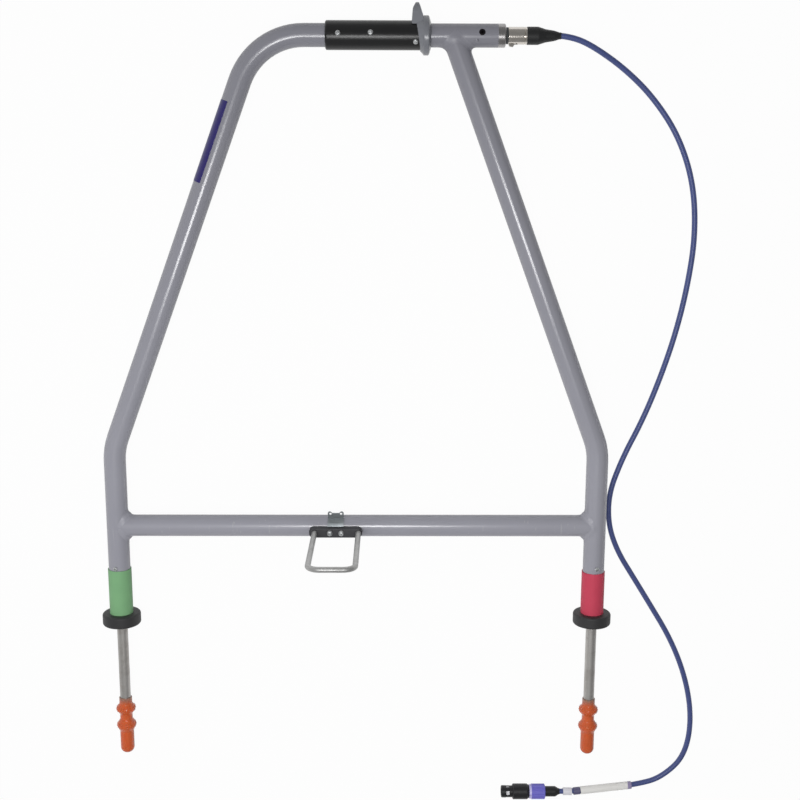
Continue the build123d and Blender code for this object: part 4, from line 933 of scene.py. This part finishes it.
def weld_section(weld, turn):
    """Points across the weld at one angle round the seam, and its root inside the metal."""
    across, up = math.sin(turn), math.cos(turn)
    seam = weld.seam(turn)
    middle = weld.skin(seam)
    outward = weld.through * math.copysign(1.0, weld.through.dot(weld.side))
    fan = outward * (across / math.hypot(across, FAN_SPREAD)) - weld.front * (up * up)
    on_through = weld.walk(middle, fan.normalized(), WELD_ACROSS)
    on_branch = weld.walk(middle, weld.branch, WELD_ACROSS)
    strip = []
    height = weld.bead * (1.0 - RIPPLE_DEPTH * abs(math.cos(RIPPLES * turn)))
    for place in list(reversed(on_through)) + [middle] + on_branch:
        fade = max(1.0 - ((place - middle).length / BEAD_HALF) ** 2, 0.0)
        strip.append(weld.skin(place, height * fade * fade))
    for end in (0, -1):
        strip[end] = weld.skin(strip[end], -WELD_SINK)
    off_one, off_two = weld.gaps(seam)[2:]
    outside = (off_one.normalized() + off_two.normalized()).normalized()
    return strip + [seam - outside * WELD_ROOT]


def weld_mesh(name, welds):
    """Closed strip round the seam of each joint."""
    points, faces = [], []
    for weld in welds:
        first = len(points)
        for step in range(WELD_ROUND):
            section = weld_section(weld, 2 * math.pi * step / WELD_ROUND)
            points += section
        count = len(section)
        for step in range(WELD_ROUND):
            here, there = first + step * count, first + (step + 1) % WELD_ROUND * count
            for row in range(count):
                after = (row + 1) % count
                faces.append((here + row, there + row, there + after, here + after))
    mesh = bpy.data.meshes.new(name)
    mesh.from_pydata(points, [], faces)
    shell = bmesh.new()
    shell.from_mesh(mesh)
    bmesh.ops.recalc_face_normals(shell, faces=shell.faces)
    shell.to_mesh(mesh)
    shell.free()
    mesh.shade_smooth()
    mesh.set_sharp_from_angle(angle=WELD_CREASE)
    return mesh


# %% Three joints
SLOPE_X = 0.3513
SLOPE_Y = 0.9363
HANDLE_JOINT_X = 0.108

left_end, right_end = (Vector((side * LEG_X, CROSS_TUBE_Y, TUBE_Z)) for side in (-1, 1))
handle_joint = Vector((HANDLE_JOINT_X, HANDLE_Y, TUBE_Z))
cross_melt = {"crown": 0.0014, "corner": 0.0085}
tube_welds = (
    Weld(left_end, (0, 1, 0), (1, 0, 0), setback=0.010, bead=0.0007, **cross_melt),
    Weld(right_end, (0, 1, 0), (-1, 0, 0), setback=0.006, bead=0.0006, **cross_melt),
    Weld(
        handle_joint, (1, 0, 0), (SLOPE_X, -SLOPE_Y, 0),
        setback=0.006, bead=0.0002, crown=0.0026, corner=0.0065,
    ),
)
welds = bpy.data.objects.new("tube_welds", weld_mesh("tube_welds", tube_welds))
scene.collection.objects.link(welds)
welds.data.materials.append(weld_paint.material)
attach(welds, "frame")
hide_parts("handle_weld", "left_cross_weld", "right_cross_weld")
print("welds", len(welds.data.polygons), "faces")

# %% [markdown]
# ## Film on the left slope
#
# A dark blue film is stuck round the outside of the left slope. It is a sheet that bends round the
# tube: a grid of points by distance along the tube and angle round it, narrowed at its ends for the
# slightly rounded corners, and given its thickness with Solidify.

# %% Slope film
FILM_LOW_Y = 0.2472
FILM_HIGH_Y = 0.3352
FILM_ANGLES = (16.0, 110.0)
FILM_CORNER = 0.0013
FILM_STAND = 0.00022
FILM_WALL = 0.00026
FILM_STEPS = 24
FILM_COLUMNS = 40
CORNER_STEPS = 8
KNEE = Vector((-LEG_X, -0.0572, TUBE_Z))
SLOPE = Vector((SLOPE_X, SLOPE_Y, 0.0))
OUTSIDE = Vector((-SLOPE_Y, SLOPE_X, 0.0))

film_start = (FILM_LOW_Y - KNEE.y) / SLOPE.y
film_length = (FILM_HIGH_Y - FILM_LOW_Y) / SLOPE.y
film_reach = TUBE_R + FILM_STAND
quarters = [math.pi / 2 * step / CORNER_STEPS for step in range(CORNER_STEPS + 1)]
corner_rows = [FILM_CORNER * (1.0 - math.cos(turn)) for turn in quarters]
film_rows = corner_rows + [film_length * step / FILM_STEPS for step in range(2, FILM_STEPS - 1)]
film_rows += [film_length - row for row in reversed(corner_rows)]
film_points, film_faces = [], []
for down in film_rows:
    to_end = min(down, film_length - down, FILM_CORNER)
    inset = FILM_CORNER - math.sqrt(FILM_CORNER**2 - (FILM_CORNER - to_end) ** 2)
    first, last = (math.radians(angle) for angle in FILM_ANGLES)
    first, last = first + inset / film_reach, last - inset / film_reach
    for column in range(FILM_COLUMNS + 1):
        angle = first + (last - first) * column / FILM_COLUMNS
        out = OUTSIDE * math.sin(angle) + Vector((0.0, 0.0, math.cos(angle)))
        film_points.append(KNEE + SLOPE * (film_start + down) + out * film_reach)
for row in range(len(film_rows) - 1):
    for column in range(FILM_COLUMNS):
        here = row * (FILM_COLUMNS + 1) + column
        there = here + FILM_COLUMNS + 1
        film_faces.append((here, there, there + 1, here + 1))
print("film grid", len(film_rows), "by", FILM_COLUMNS + 1, "points")

# %% Film as a thin solid
film_mesh = bpy.data.meshes.new("slope_film")
film_mesh.from_pydata(film_points, [], film_faces)
film_mesh.shade_smooth()
sheet = bpy.data.objects.new("slope_film_sheet", film_mesh)
scene.collection.objects.link(sheet)
solidify = sheet.modifiers.new("wall", "SOLIDIFY")
solidify.thickness = FILM_WALL
solidify.offset = -1.0
thick = sheet.evaluated_get(bpy.context.evaluated_depsgraph_get())
film_solid = bpy.data.meshes.new_from_object(thick)
bpy.data.objects.remove(sheet)
film = bpy.data.objects.new("slope_film", film_solid)
scene.collection.objects.link(film)
film_skin = moulded(
    "dark_blue_film", screen(38, 30, 102), screen(66, 58, 130), 0.36, grain=600.0, depth=0.00001
)
film_solid.materials.clear()
film_solid.materials.append(film_skin.material)
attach(film, "frame")
print("film", round(film_length * 1000), "mm long,", len(film_solid.polygons), "faces")

# %% [markdown]
# ## Say what the cable is
#
# The cable belongs to the lead that unplugs, so it rides on that body and stands for the CAD tube.

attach(cable, "lead")
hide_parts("cable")
